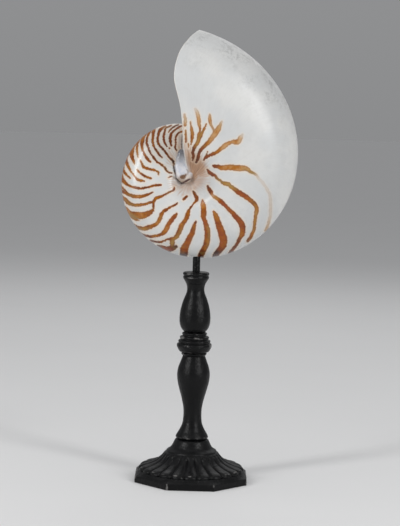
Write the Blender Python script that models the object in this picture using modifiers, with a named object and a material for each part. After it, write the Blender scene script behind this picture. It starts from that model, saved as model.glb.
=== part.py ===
"""Half of a nautilus shell, held up on a black turned stand.

The shell is cut along its plane of symmetry: its whole outer side faces -Y and its cut face, with
the gas chambers, faces +Y. The origin is on the stand's axis, at the underside of the base.
"""
import bpy
import bmesh
import math
from mathutils import Matrix, Vector

# Stand, in metres
PLINTH_APOTHEM = 0.0442
PLINTH_LEDGE = 0.0068
PLINTH_HEIGHT = 0.0080
LEDGE_SETBACK = 0.0011
PETALS = 24
PETAL_STEPS = 3
PETAL_GROOVE = 0.0015
PETAL_SCALLOP = 0.0022
TURNED_STEPS = 24
GAP = 0.0003
TENON_RADIUS = 0.0040
TENON_LENGTH = 0.0055
ROD_RADIUS = 0.0030
ROD_BOTTOM = 0.1463
ROD_TOP = 0.1900
ROD_STEPS = 20

# Shell, in metres and degrees
POLE_X = -0.0101
POLE_Z = 0.2439
CUT_Y = 0.0046
SPIRAL_START = 0.02898
SPIRAL_RATE = 0.1742
FIRST_ANGLE = 85.95
TURN = 360.0
SHELL_ROWS = 44
SHELL_COLUMNS = 13
WALL_AT_LIP = 0.0017
WALL_LEAST = 0.0005
DORSAL_LAYER = 0.0005
LAST_SEPTUM = 319.0
SEPTUM_STEP = 23.0
SEPTUM_BOW = 9.0
SEPTUM_RATIO = 0.009
SEPTUM_LEAST = 0.00045
SMALLEST_CHAMBER = 0.0145
THIN_LAYER_BELOW = 0.040
CHAMBER_GRID = (2, 4, 4)
ROOM_GRID = (18, 8, 4)
CHAMBER_END = 0.70
LIP_OVERRUN = 16.0
LIP_RAMP = 0.004
UMBILICUS_SHIFT = (0.0038, -0.0112)
UMBILICUS_REACH = 0.033
UMBILICUS_DEPTH = 0.030

# Half section of the outer whorl: distance from the pole and from the cut plane as shares of
# the whorl's radius, and how far forward the growth line runs there, in degrees
SECTION = (
    (1.000, 0.000, 0.0),
    (0.985, 0.100, 0.9),
    (0.930, 0.200, 4.0),
    (0.820, 0.290, 8.7),
    (0.650, 0.352, 12.1),
    (0.450, 0.375, 9.8),
    (0.300, 0.355, 10.8),
    (0.210, 0.300, 14.0),
    (0.120, 0.190, 11.0),
    (0.060, 0.150, 3.0),
)

# Profiles of the turned pieces, radius and height in millimetres, top to bottom
BASE_PROFILE = (
    (12.3, 32.7), (13.4, 31.9), (15.0, 28.6), (16.8, 25.8), (19.9, 23.6), (20.3, 22.6),
    (21.9, 21.4), (24.1, 18.6), (27.4, 15.7), (32.9, 13.1), (39.6, 11.1), (41.0, 9.6),
    (40.8, 7.4),
)
PETAL_TOP = 22.1
PETAL_FULL = 20.0
LOWER_PROFILE = (
    (8.9, 99.3), (10.6, 94.6), (12.2, 90.0), (13.0, 85.0), (12.6, 79.4), (11.2, 73.2),
    (9.0, 65.4), (7.5, 58.2), (7.2, 51.6), (7.9, 45.2), (10.0, 40.2), (12.2, 36.4), (12.9, 34.6),
    (12.0, 33.0),
)
KNOP_PROFILE = (
    (8.8, 118.3), (9.9, 117.4), (9.5, 115.6), (11.1, 115.0), (11.6, 113.9), (11.1, 112.5),
    (12.4, 112.0), (12.8, 110.8), (12.3, 109.7), (13.5, 109.1), (13.9, 107.6), (13.4, 106.0),
    (11.6, 103.0), (9.3, 102.4), (10.1, 101.2), (9.0, 99.6),
)
UPPER_PROFILE = (
    (7.7, 157.0), (7.0, 154.6), (6.9, 151.4), (7.7, 148.4), (9.4, 144.2), (10.9, 139.2),
    (11.9, 134.4), (12.3, 129.2), (12.0, 125.2), (10.9, 121.8), (9.2, 119.4), (8.4, 118.6),
)
CAP_PROFILE = (
    (9.2, 166.2), (10.2, 165.6), (10.4, 164.3), (9.7, 163.4), (10.2, 162.6), (10.1, 161.2),
    (8.8, 159.0), (7.9, 157.3),
)

# Callus over the umbilicus: centre, half sizes and lean
CALLUS_CENTRE = (-0.0126, -0.0085, 0.2470)
CALLUS_SIZE = (0.0056, 0.0058, 0.0104)
CALLUS_LEAN = 10.0

MM = 0.001


def clear_scene():
    for item in list(bpy.data.objects):
        bpy.data.objects.remove(item, do_unlink=True)


def make_material(name, colour, roughness, metallic):
    material = bpy.data.materials.new(name)
    material.use_nodes = True
    shader = material.node_tree.nodes["Principled BSDF"]
    shader.inputs["Base Color"].default_value = (*colour, 1.0)
    shader.inputs["Roughness"].default_value = roughness
    shader.inputs["Metallic"].default_value = metallic
    return material


def make_collection(name):
    collection = bpy.data.collections.new(name)
    bpy.context.scene.collection.children.link(collection)
    return collection


def add_object(name, mesh, collection, material=None):
    item = bpy.data.objects.new(name, mesh)
    collection.objects.link(item)
    if material:
        mesh.materials.append(material)
    return item


def mesh_from(name, bm):
    bmesh.ops.recalc_face_normals(bm, faces=bm.faces)
    mesh = bpy.data.meshes.new(name)
    bm.to_mesh(mesh)
    bm.free()
    return mesh


def shade_round(mesh, angle):
    mesh.shade_smooth()
    mesh.set_sharp_from_angle(angle=math.radians(angle))


def applied_mesh(item):
    graph = bpy.context.evaluated_depsgraph_get()
    return bpy.data.meshes.new_from_object(item.evaluated_get(graph))


def screw_object(name, points, closed, steps, collection):
    """Turn a profile of radius and height round the Z axis."""
    bm = bmesh.new()
    corners = [bm.verts.new((radius, 0.0, height)) for radius, height in points]
    for first, second in zip(corners, corners[1:]):
        bm.edges.new((first, second))
    if closed:
        bm.edges.new((corners[-1], corners[0]))
    mesh = bpy.data.meshes.new(name)
    bm.to_mesh(mesh)
    bm.free()
    item = add_object(name, mesh, collection)
    screw = item.modifiers.new("Screw", "SCREW")
    screw.axis = "Z"
    screw.steps = steps
    screw.render_steps = steps
    screw.use_merge_vertices = True
    screw.merge_threshold = 0.00001
    return item


def turned(name, profile, collection, material, tenon=0.0, socket=0.0, socket_depth=0.0):
    """A turned piece with a tenon under it and a socket in its top."""
    outline = [(radius * MM, height * MM) for radius, height in profile]
    top = outline[0][1]
    bottom = outline[-1][1]
    points = [(0.0, top)]
    if socket:
        points = [(0.0, top - socket_depth), (socket, top - socket_depth), (socket, top)]
    points += outline
    if tenon:
        points += [(tenon, bottom), (tenon, bottom - TENON_LENGTH), (0.0, bottom - TENON_LENGTH)]
    else:
        points.append((0.0, bottom))
    item = screw_object(name, points, False, TURNED_STEPS, collection)
    mesh = applied_mesh(item)
    shade_round(mesh, 35.0)
    mesh.materials.append(material)
    item.modifiers.clear()
    item.data = mesh
    return item


def subtract(item, cutter, operation="DIFFERENCE"):
    boolean = item.modifiers.new(cutter.name, "BOOLEAN")
    boolean.operation = operation
    boolean.solver = "EXACT"
    boolean.object = cutter


def hide_cutter(item):
    item.hide_render = True
    item.display_type = "WIRE"


def apply_modifiers(item):
    mesh = applied_mesh(item)
    item.modifiers.clear()
    item.data = mesh


def octagon(name, apothem, bottom, top, collection):
    """An eight-sided slab with one flat side toward -Y."""
    bm = bmesh.new()
    radius = apothem / math.cos(math.pi / 8)
    turn = Matrix.Rotation(math.pi / 8, 4, "Z")
    place = Matrix.Translation((0.0, 0.0, (bottom + top) / 2)) @ turn
    bmesh.ops.create_cone(bm, cap_ends=True, segments=8, radius1=radius, radius2=radius,
                          depth=top - bottom, matrix=place)
    return add_object(name, mesh_from(name, bm), collection)


def petal_weight(height):
    """How deep the grooves between the petals are cut at a height in millimetres."""
    share = (PETAL_TOP - height) / (PETAL_TOP - PETAL_FULL)
    return min(max(share, 0.0), 1.0)


def build_base(parts, cutters, material):
    outline = [(radius * MM, height * MM) for radius, height in BASE_PROFILE]
    top = outline[0][1]
    socket = TENON_RADIUS + GAP
    depth = TENON_LENGTH + GAP
    points = [(0.0, top - depth), (socket, top - depth), (socket, top)] + outline
    points.append((0.0, outline[-1][1]))
    skirt = screw_object("skirt", points, False, PETALS * PETAL_STEPS, cutters)
    mesh = applied_mesh(skirt)
    pitch = 2 * math.pi / PETALS
    for vertex in mesh.vertices:
        radius = math.hypot(vertex.co.x, vertex.co.y)
        if radius < socket + GAP:
            continue
        angle = math.atan2(vertex.co.y, vertex.co.x)
        step = round(angle / pitch * PETAL_STEPS)
        if step % PETAL_STEPS:
            continue
        weight = petal_weight(vertex.co.z / MM)
        rim = max(0.0, (radius - 0.030) / 0.011)
        inward = weight * (PETAL_GROOVE * (1.0 - 0.5 * rim) + PETAL_SCALLOP * rim)
        down = weight * PETAL_GROOVE * 0.7 if vertex.co.z > PLINTH_HEIGHT + GAP else 0.0
        vertex.co.x *= 1.0 - inward / radius
        vertex.co.y *= 1.0 - inward / radius
        vertex.co.z -= down
    skirt.modifiers.clear()
    skirt.data = mesh
    skirt.rotation_euler = (0.0, 0.0, pitch / 2 + math.pi / 2)
    hide_cutter(skirt)
    ledge = octagon("ledge", PLINTH_APOTHEM - LEDGE_SETBACK, PLINTH_LEDGE - 0.001, PLINTH_HEIGHT,
                    cutters)
    hide_cutter(ledge)
    base = octagon("base", PLINTH_APOTHEM, 0.0, PLINTH_LEDGE, parts)
    subtract(base, ledge, "UNION")
    subtract(base, skirt, "UNION")
    bpy.context.view_layer.update()
    apply_modifiers(base)
    base.data.materials.clear()
    base.data.materials.append(material)
    shade_round(base.data, 28.0)
    return base


def section_curve(share):
    """Section point and growth-line lead at a share of the section's length, by a spline."""
    mirrored = (SECTION[1][0], -SECTION[1][1], -SECTION[1][2])
    tail = tuple(2 * a - b for a, b in zip(SECTION[-1], SECTION[-2]))
    knots = [mirrored, *SECTION, tail]
    place = min(max(share, 0.0), 1.0) * (len(SECTION) - 1)
    index = min(int(place), len(SECTION) - 2)
    t = place - index
    before, first, second, after = knots[index:index + 4]
    values = []
    for a, b, c, d in zip(before, first, second, after):
        values.append(0.5 * (2 * b + (c - a) * t + (2 * a - 5 * b + 4 * c - d) * t * t
                             + (3 * b - a - 3 * c + d) * t ** 3))
    return values


def section_normal(share):
    """Unit vector that points into the whorl from the section curve."""
    step = 0.01
    first = section_curve(max(share - step, 0.0))
    second = section_curve(min(share + step, 1.0))
    along = Vector((second[0] - first[0], second[1] - first[1]))
    if share < step:
        along.x = 0.0
    along.normalize()
    return Vector((-along.y, along.x))


def whorl_radius(angle):
    return SPIRAL_START * math.exp(SPIRAL_RATE * math.radians(angle))


def wall_thickness(radius):
    lip = whorl_radius(FIRST_ANGLE + TURN)
    return max(WALL_LEAST, WALL_AT_LIP * math.sqrt(radius / lip))


def shell_point(angle, radial, lateral):
    """World position of a polar point, with the umbilicus leaning off the pole."""
    across = radial * math.cos(math.radians(angle))
    height = radial * math.sin(math.radians(angle))
    lean = min(max(lateral / UMBILICUS_DEPTH, 0.0), 1.0)
    lean *= math.exp(-(radial / UMBILICUS_REACH) ** 2)
    return Vector((POLE_X + across + UMBILICUS_SHIFT[0] * lean, CUT_Y - lateral,
                   POLE_Z + height + UMBILICUS_SHIFT[1] * lean))


def outer_point(growth, share):
    radial, lateral, lead = section_curve(share)
    radius = whorl_radius(growth)
    return shell_point(growth + lead, radial * radius, lateral * radius)


def cavity_point(growth, share, rise, raised=0.0, past_plane=0.0):
    """Point inside the whorl, from the whorl within it (rise 0) to the outer wall (rise 1)."""
    radial, lateral, lead = section_curve(share)
    normal = section_normal(share)
    radius = whorl_radius(growth)
    inner = whorl_radius(growth - TURN)
    layer = DORSAL_LAYER * min(1.0, radius / THIN_LAYER_BELOW) + raised
    wall = wall_thickness(radius)
    low = Vector((radial * inner, lateral * inner)) - normal * layer
    high = Vector((radial * radius, lateral * radius)) + normal * wall
    spot = low.lerp(high, rise)
    return shell_point(growth + lead, spot.x, spot.y - past_plane)


def septum_offset(share, rise):
    """How far a septum lies from its outer edge, in degrees: it bows back from the opening."""
    lead = section_curve(share)[2]
    bow = SEPTUM_BOW * 4 * rise * (1 - rise) * (1 - (share / CHAMBER_END) ** 2)
    return -0.85 * lead - bow


def filled_whorl(name, collection):
    """The last whorl as a solid, closed by the cut plane and by the face at the opening."""
    bm = bmesh.new()
    rows = []
    for row in range(SHELL_ROWS + 1):
        growth = FIRST_ANGLE + TURN * row / SHELL_ROWS
        rows.append([bm.verts.new(outer_point(growth, column / SHELL_COLUMNS))
                     for column in range(SHELL_COLUMNS + 1)])
    for near, far in zip(rows, rows[1:]):
        for column in range(SHELL_COLUMNS):
            bm.faces.new((near[column], near[column + 1], far[column + 1], far[column]))
    for column in range(SHELL_COLUMNS):
        bm.faces.new((rows[-1][column], rows[-1][column + 1], rows[0][column + 1],
                      rows[0][column]))
    bm.faces.new([row[0] for row in rows])
    ends = [row[-1] for row in rows]
    middle = sum((vertex.co for vertex in ends), Vector()) / len(ends)
    centre = bm.verts.new(middle)
    for first, second in zip(ends, ends[1:] + ends[:1]):
        bm.faces.new((first, second, centre))
    return add_object(name, mesh_from(name, bm), collection)


def add_block(bm, place, sizes):
    """A closed six-sided grid whose corners are mapped by a function of three shares."""
    across, along, up = sizes
    corners = {}

    def corner(i, j, k):
        if (i, j, k) not in corners:
            corners[i, j, k] = bm.verts.new(place(i / across, j / along, k / up))
        return corners[i, j, k]

    def face(spots):
        bm.faces.new([corner(*spot) for spot in spots])

    for i in range(across):
        for j in range(along):
            face(((i, j, 0), (i, j + 1, 0), (i + 1, j + 1, 0), (i + 1, j, 0)))
            face(((i, j, up), (i + 1, j, up), (i + 1, j + 1, up), (i, j + 1, up)))
    for i in range(across):
        for k in range(up):
            face(((i, 0, k), (i + 1, 0, k), (i + 1, 0, k + 1), (i, 0, k + 1)))
            face(((i, along, k), (i, along, k + 1), (i + 1, along, k + 1), (i + 1, along, k)))
    for j in range(along):
        for k in range(up):
            face(((0, j, k), (0, j, k + 1), (0, j + 1, k + 1), (0, j + 1, k)))
            face(((across, j, k), (across, j + 1, k), (across, j + 1, k + 1), (across, j, k + 1)))


def half_septum(angle):
    """Half the thickness of a septum, as an angle at its outer edge."""
    radius = whorl_radius(angle)
    thickness = max(SEPTUM_LEAST, SEPTUM_RATIO * radius)
    return math.degrees(thickness / 2 / (0.65 * radius))


def past_cut(share):
    """The cavities run out through the cut plane."""
    return 0.003 if share == 0.0 else 0.0


def body_chamber(name, collection):
    """The open room behind the lip, run on past the lip."""
    bm = bmesh.new()
    start = LAST_SEPTUM + half_septum(LAST_SEPTUM)
    lip = FIRST_ANGLE + TURN
    end = lip + LIP_OVERRUN

    def place(i, j, k):
        share = j * CHAMBER_END
        back = start + septum_offset(share, k)
        growth = back + (end - back) * i
        raised = LIP_RAMP * max(0.0, growth - lip) / LIP_OVERRUN
        return cavity_point(growth, share, k, raised, past_cut(share))

    add_block(bm, place, ROOM_GRID)
    return add_object(name, mesh_from(name, bm), collection)


def gas_chambers(name, collection):
    """All the closed-off rooms, from the last septum inward to the smallest."""
    bm = bmesh.new()
    front = LAST_SEPTUM
    while whorl_radius(front) > SMALLEST_CHAMBER:
        back = front - SEPTUM_STEP
        first = back + half_septum(back)
        last = front - half_septum(front)

        def place(i, j, k):
            share = j * CHAMBER_END
            growth = first + (last - first) * i + septum_offset(share, k)
            return cavity_point(growth, share, k, 0.0, past_cut(share))

        add_block(bm, place, CHAMBER_GRID)
        front = back
    return add_object(name, mesh_from(name, bm), collection)


def build_shell(parts, cutters, material):
    shell = filled_whorl("shell_half", parts)
    room = body_chamber("body_chamber", cutters)
    bm = bmesh.new()
    lean = Matrix.Rotation(math.radians(-CALLUS_LEAN), 4, "Y")
    size = Matrix.Diagonal((*CALLUS_SIZE, 1.0))
    bmesh.ops.create_uvsphere(bm, u_segments=16, v_segments=10, radius=1.0,
                              matrix=Matrix.Translation(CALLUS_CENTRE) @ lean @ size)
    callus = add_object("callus", mesh_from("callus", bm), cutters)
    chambers = gas_chambers("gas_chambers", cutters)
    bm = bmesh.new()
    bmesh.ops.create_cone(bm, cap_ends=True, segments=ROD_STEPS, radius1=ROD_RADIUS + GAP,
                          radius2=ROD_RADIUS + GAP, depth=0.024,
                          matrix=Matrix.Translation((0.0, 0.0, ROD_TOP - 0.011)))
    hole = add_object("rod_hole", mesh_from("rod_hole", bm), cutters)
    subtract(shell, room)
    subtract(shell, callus, "UNION")
    subtract(shell, chambers)
    subtract(shell, hole)
    for cutter in (room, callus, chambers, hole):
        hide_cutter(cutter)
    bpy.context.view_layer.update()
    apply_modifiers(shell)
    shell.data.materials.clear()
    shell.data.materials.append(material)
    shade_round(shell.data, 40.0)
    return shell


def build_rod(parts, material):
    bm = bmesh.new()
    bmesh.ops.create_cone(bm, cap_ends=True, segments=ROD_STEPS, radius1=ROD_RADIUS,
                          radius2=ROD_RADIUS, depth=ROD_TOP - ROD_BOTTOM,
                          matrix=Matrix.Translation((0.0, 0.0, (ROD_TOP + ROD_BOTTOM) / 2)))
    rod = add_object("rod", mesh_from("rod", bm), parts, material)
    shade_round(rod.data, 35.0)
    return rod


def build_cap(parts, material):
    outline = [(radius * MM, height * MM) for radius, height in CAP_PROFILE]
    bore = ROD_RADIUS + GAP
    points = outline + [(bore, outline[-1][1]), (bore, outline[0][1])]
    cap = screw_object("cap", points, True, TURNED_STEPS, parts)
    mesh = applied_mesh(cap)
    mesh.materials.append(material)
    shade_round(mesh, 35.0)
    cap.modifiers.clear()
    cap.data = mesh
    return cap


def main():
    clear_scene()
    parts = make_collection("nautilus_shell_on_stand")
    cutters = make_collection("cutters")
    black = make_material("black_satin", (0.018, 0.018, 0.020), 0.42, 0.0)
    rod_black = make_material("rod_black", (0.03, 0.03, 0.032), 0.35, 0.4)
    nacre = make_material("shell_cream", (0.62, 0.50, 0.38), 0.40, 0.0)
    socket = TENON_RADIUS + GAP
    depth = TENON_LENGTH + GAP
    base = build_base(parts, cutters, black)
    lower = turned("lower_baluster", LOWER_PROFILE, parts, black, TENON_RADIUS, socket, depth)
    knop = turned("knop", KNOP_PROFILE, parts, black, TENON_RADIUS, socket, depth)
    upper = turned("upper_baluster", UPPER_PROFILE, parts, black, TENON_RADIUS,
                   ROD_RADIUS + GAP, UPPER_PROFILE[0][1] * MM - ROD_BOTTOM + GAP)
    cap = build_cap(parts, black)
    rod = build_rod(parts, rod_black)
    shell = build_shell(parts, cutters, nacre)
    holder = bpy.data.objects.new("nautilus_shell_on_stand", None)
    parts.objects.link(holder)
    for item in (base, lower, knop, upper, cap, rod, shell):
        item.parent = holder


main()
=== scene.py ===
"""A nautilus shell, cut in half, held up on a black turned stand."""

import math

import bmesh
import bpy
import numpy as np
from mathutils import Matrix, Vector


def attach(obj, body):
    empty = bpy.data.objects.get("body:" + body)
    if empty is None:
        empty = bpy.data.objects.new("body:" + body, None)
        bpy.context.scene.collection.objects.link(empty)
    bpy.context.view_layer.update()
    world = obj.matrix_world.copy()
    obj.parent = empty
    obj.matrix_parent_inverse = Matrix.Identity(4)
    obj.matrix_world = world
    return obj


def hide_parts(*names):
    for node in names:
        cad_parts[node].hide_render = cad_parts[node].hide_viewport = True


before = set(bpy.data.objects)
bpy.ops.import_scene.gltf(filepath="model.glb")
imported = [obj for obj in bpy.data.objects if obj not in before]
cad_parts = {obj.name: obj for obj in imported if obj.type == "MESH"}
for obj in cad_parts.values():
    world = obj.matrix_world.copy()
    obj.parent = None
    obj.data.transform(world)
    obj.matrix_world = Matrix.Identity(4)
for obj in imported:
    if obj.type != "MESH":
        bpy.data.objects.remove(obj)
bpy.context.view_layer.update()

MM = 0.001
TURN = 360.0

# Picture, in pixels, and the camera that sees the object as the picture does, in metres and
# degrees
PICTURE_WIDTH = 400
PICTURE_HEIGHT = 526
CAMERA_PLACE = (0.0028, -1.3, 0.285)
CAMERA_PITCH = 4.91
CAMERA_ROLL = 1.55
CAMERA_ANGLE = 18.1

# Lights: name, azimuth and elevation in degrees, width and height in metres, and watts
LIGHTS = (
    ("left_soft_box", -52.0, 20.0, (0.24, 0.90), 10.2),
    ("right_soft_box", 46.0, 19.0, (0.28, 0.90), 9.6),
    ("back_soft_box", 170.0, 42.0, (1.3, 1.3), 4.0),
    ("overhead", 0.0, 80.0, (1.2, 1.2), 3.2),
)
LIGHT_TARGET = (0.0, 0.0, 0.24)
LIGHT_DISTANCE = 1.5
HORIZON_STRENGTH = 0.27
SKY_STRENGTH = 0.36
SKY_HEIGHT = 0.5
SKY_COLOUR = (0.97, 0.98, 1.0)
FLOOR_SIZE = 60.0

# Shell's spiral, in metres and degrees of growth
POLE_X = -0.0101
POLE_Z = 0.2439
CUT_Y = 0.0046
SPIRAL_START = 0.02898
SPIRAL_RATE = 0.1742
FIRST_ANGLE = 85.95
LIP_ANGLE = FIRST_ANGLE + TURN
UMBILICUS_SHIFT = (0.0038, -0.0112)
UMBILICUS_REACH = 0.033
UMBILICUS_DEPTH = 0.030
WALL_AT_LIP = 0.0017
WALL_LEAST = 0.0005
DORSAL_LAYER = 0.0005
THIN_LAYER_BELOW = 0.040
LIP_AHEAD = 0.5
LIP_BULGE = 0.6

# Chambers, in metres and degrees; a rise runs from the whorl within, 0, to the outer wall, 1
LAST_SEPTUM = 319.0
SEPTUM_STEP = 23.0
SEPTUM_BOW = 9.0
SEPTUM_LEAD = 0.85
SEPTUM_RATIO = 0.009
SEPTUM_LEAST = 0.00045
SEPTUM_THIN_BELOW = 0.012
SEPTUM_MIDDLE = 0.65
CHAMBER_END = 0.70
SMALLEST_RADIUS = 0.0055
SIPHUNCLE_RISE = 0.46
SIPHUNCLE_REACH = 0.40
SIPHUNCLE_RADIUS = 0.020
SIPHUNCLE_BORE = 0.72
SIPHUNCLE_FLARE = 0.9
SIPHUNCLE_FLARE_FALL = 6.0

# Callus, in metres and degrees
CALLUS_CENTRE = (-0.0122, -0.0078, 0.2496)
CALLUS_SIZE = (0.0080, 0.0052, 0.0134)
CALLUS_SEAT = -0.0100
CALLUS_SEAT_SLOPE = 0.5
CALLUS_SEAT_REACH = 0.012
CALLUS_LEAN = 10.0
CALLUS_TAPER = 0.34
CALLUS_SWELL = 0.05

# How finely the shell's pieces are divided
OUTSIDE_ROWS = 640
OUTSIDE_COLUMNS = 140
LIP_GRID = (7, 90)
STEP_GRID = (24, 50)
ROOM_GRID = (80, 60, 30)
CHAMBER_GRID = (10, 14, 14)
CUT_GRID = (7, 1500)
CUT_SEPTUM_GRID = (3, 24)
CORE_STEPS = 60
SIPHUNCLE_GRID = (13, 10)

# Half section of the whorl: distance from the pole and from the cut plane as shares of the
# whorl's radius, and how far forward the growth line runs there, in degrees
SECTION = (
    (1.000, 0.000, 0.0),
    (0.985, 0.100, 0.9),
    (0.930, 0.200, 4.0),
    (0.820, 0.290, 8.7),
    (0.650, 0.352, 12.1),
    (0.450, 0.375, 9.8),
    (0.300, 0.355, 10.8),
    (0.210, 0.300, 14.0),
    (0.120, 0.190, 11.0),
    (0.060, 0.150, 3.0),
)

# Stand, in metres
PLINTH_HEIGHT = 0.0080
PETAL_GROOVE = 0.0015
PETAL_SCALLOP = 0.0022
PETAL_RIM_START = 0.030
PETAL_RIM_WIDTH = 0.011
ROD_RADIUS = 0.0030
ROD_BOTTOM = 0.1463
ROD_TOP = 0.1900
ROD_CENTRE_HOLE = 0.0003
BORE = 0.0033

# Stand's counts and shares
PLINTH_SIDES = 8
PETALS = 24
PETAL_STEPS = 16
PETAL_SINK = 0.7
PETAL_ROUNDNESS = 2.4
DOME_HOLE = 0.3
TURNED_STEPS = 128

# Wear, from 0 for none to 1: on petals and on their feet; on the ridges of turned pieces, partly
# # wear and partly painted highlight; and painted highlight on their top, from rim to bore
PETAL_WEAR = 0.35
FOOT_WEAR = 0.55
RIDGE_WEAR_AND_HIGHLIGHT = 0.82
RIDGE_SPAN = 4
TOP_PAINTED_HIGHLIGHT = 0.95
BORE_PAINTED_HIGHLIGHT = 0.3

# Stand, in millimetres: where the petals begin and are full, where they wear, how fine the
# curves are, and the profiles, by radius and height from top to bottom
PETAL_TOP = 22.1
PETAL_FULL = 20.0
PETAL_WEAR_TOP = 24.0
PETAL_WEAR_FADE = 6.0
FOOT_RADIUS = 40.6
FOOT_WIDTH = 1.2
PROFILE_STEP = 0.35
BASE_STEP = 0.5
RIDGE_FULL = 0.16
BASE_PROFILE = (
    (12.3, 32.7), (13.4, 31.9), (15.0, 28.6), (16.8, 25.8), (19.9, 23.6), (20.3, 22.6),
    (21.9, 21.4), (24.1, 18.6), (27.4, 15.8), (32.9, 13.3), (39.2, 11.4), (41.6, 9.8),
    (42.0, 8.6), (41.8, 7.2),
)
LOWER_PROFILE = (
    (8.9, 99.3), (10.6, 94.6), (12.2, 90.0), (13.0, 85.0), (12.6, 79.4), (11.2, 73.2),
    (9.0, 65.4), (7.5, 58.2), (7.2, 51.6), (7.9, 45.2), (10.0, 40.2), (12.2, 36.4), (12.9, 34.6),
    (12.0, 33.0),
)
KNOP_PROFILE = (
    (8.8, 118.3), (9.9, 117.4), (9.5, 115.6), (11.1, 115.0), (11.6, 113.9), (11.1, 112.5),
    (12.4, 112.0), (12.8, 110.8), (12.3, 109.7), (13.5, 109.1), (13.9, 107.6), (13.4, 106.0),
    (11.6, 103.0), (9.3, 102.4), (10.1, 101.2), (9.0, 99.6),
)
UPPER_PROFILE = (
    (7.7, 157.0), (7.0, 154.6), (6.9, 151.4), (7.7, 148.4), (9.4, 144.2), (10.9, 139.2),
    (11.9, 134.4), (12.3, 129.2), (12.0, 125.2), (10.9, 121.8), (9.2, 119.4), (8.4, 118.6),
)
CAP_PROFILE = (
    (9.2, 166.2), (10.2, 165.6), (10.4, 164.3), (9.7, 163.4), (10.2, 162.6), (10.1, 161.2),
    (8.8, 159.0), (7.9, 157.3),
)

# Plinth, by the distance of its sides from the middle and height in millimetres, how round its
# outline is, and how worn
PLINTH_OUTLINE = (
    (0.0, 0.0, 0.0, 0.0), (42.2, 0.0, 0.0, 0.0), (43.9, 0.0, 0.0, 0.6), (44.2, 0.3, 0.0, 0.8),
    (44.2, 1.3, 0.0, 0.0), (44.2, 3.4, 0.0, 0.0), (44.2, 4.4, 0.02, 0.9), (44.0, 4.9, 0.1, 1.0),
    (43.7, 5.4, 0.3, 0.6), (43.3, 6.0, 0.55, 0.2), (43.0, 6.7, 0.8, 0.0), (42.7, 7.4, 0.95, 0.4),
    (42.3, 8.0, 1.0, 0.5), (40.0, 8.0, 1.0, 0.0), (0.0, 8.0, 1.0, 0.0),
)
# Places along a plinth's side, from corner to corner, and where the corners' wear ends
PLINTH_SLIDES = (-1.0, -0.95, -0.88, -0.6, -0.3, 0.0, 0.3, 0.6, 0.88, 0.95)
CORNER_WEAR = (1.0, 0.85)
CORNER_WEAR_START = 0.9
CORNER_WEAR_TOP = 5.0
CORNER_WEAR_INNER = 43.0
EDGE_WEAR = 0.75
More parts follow.
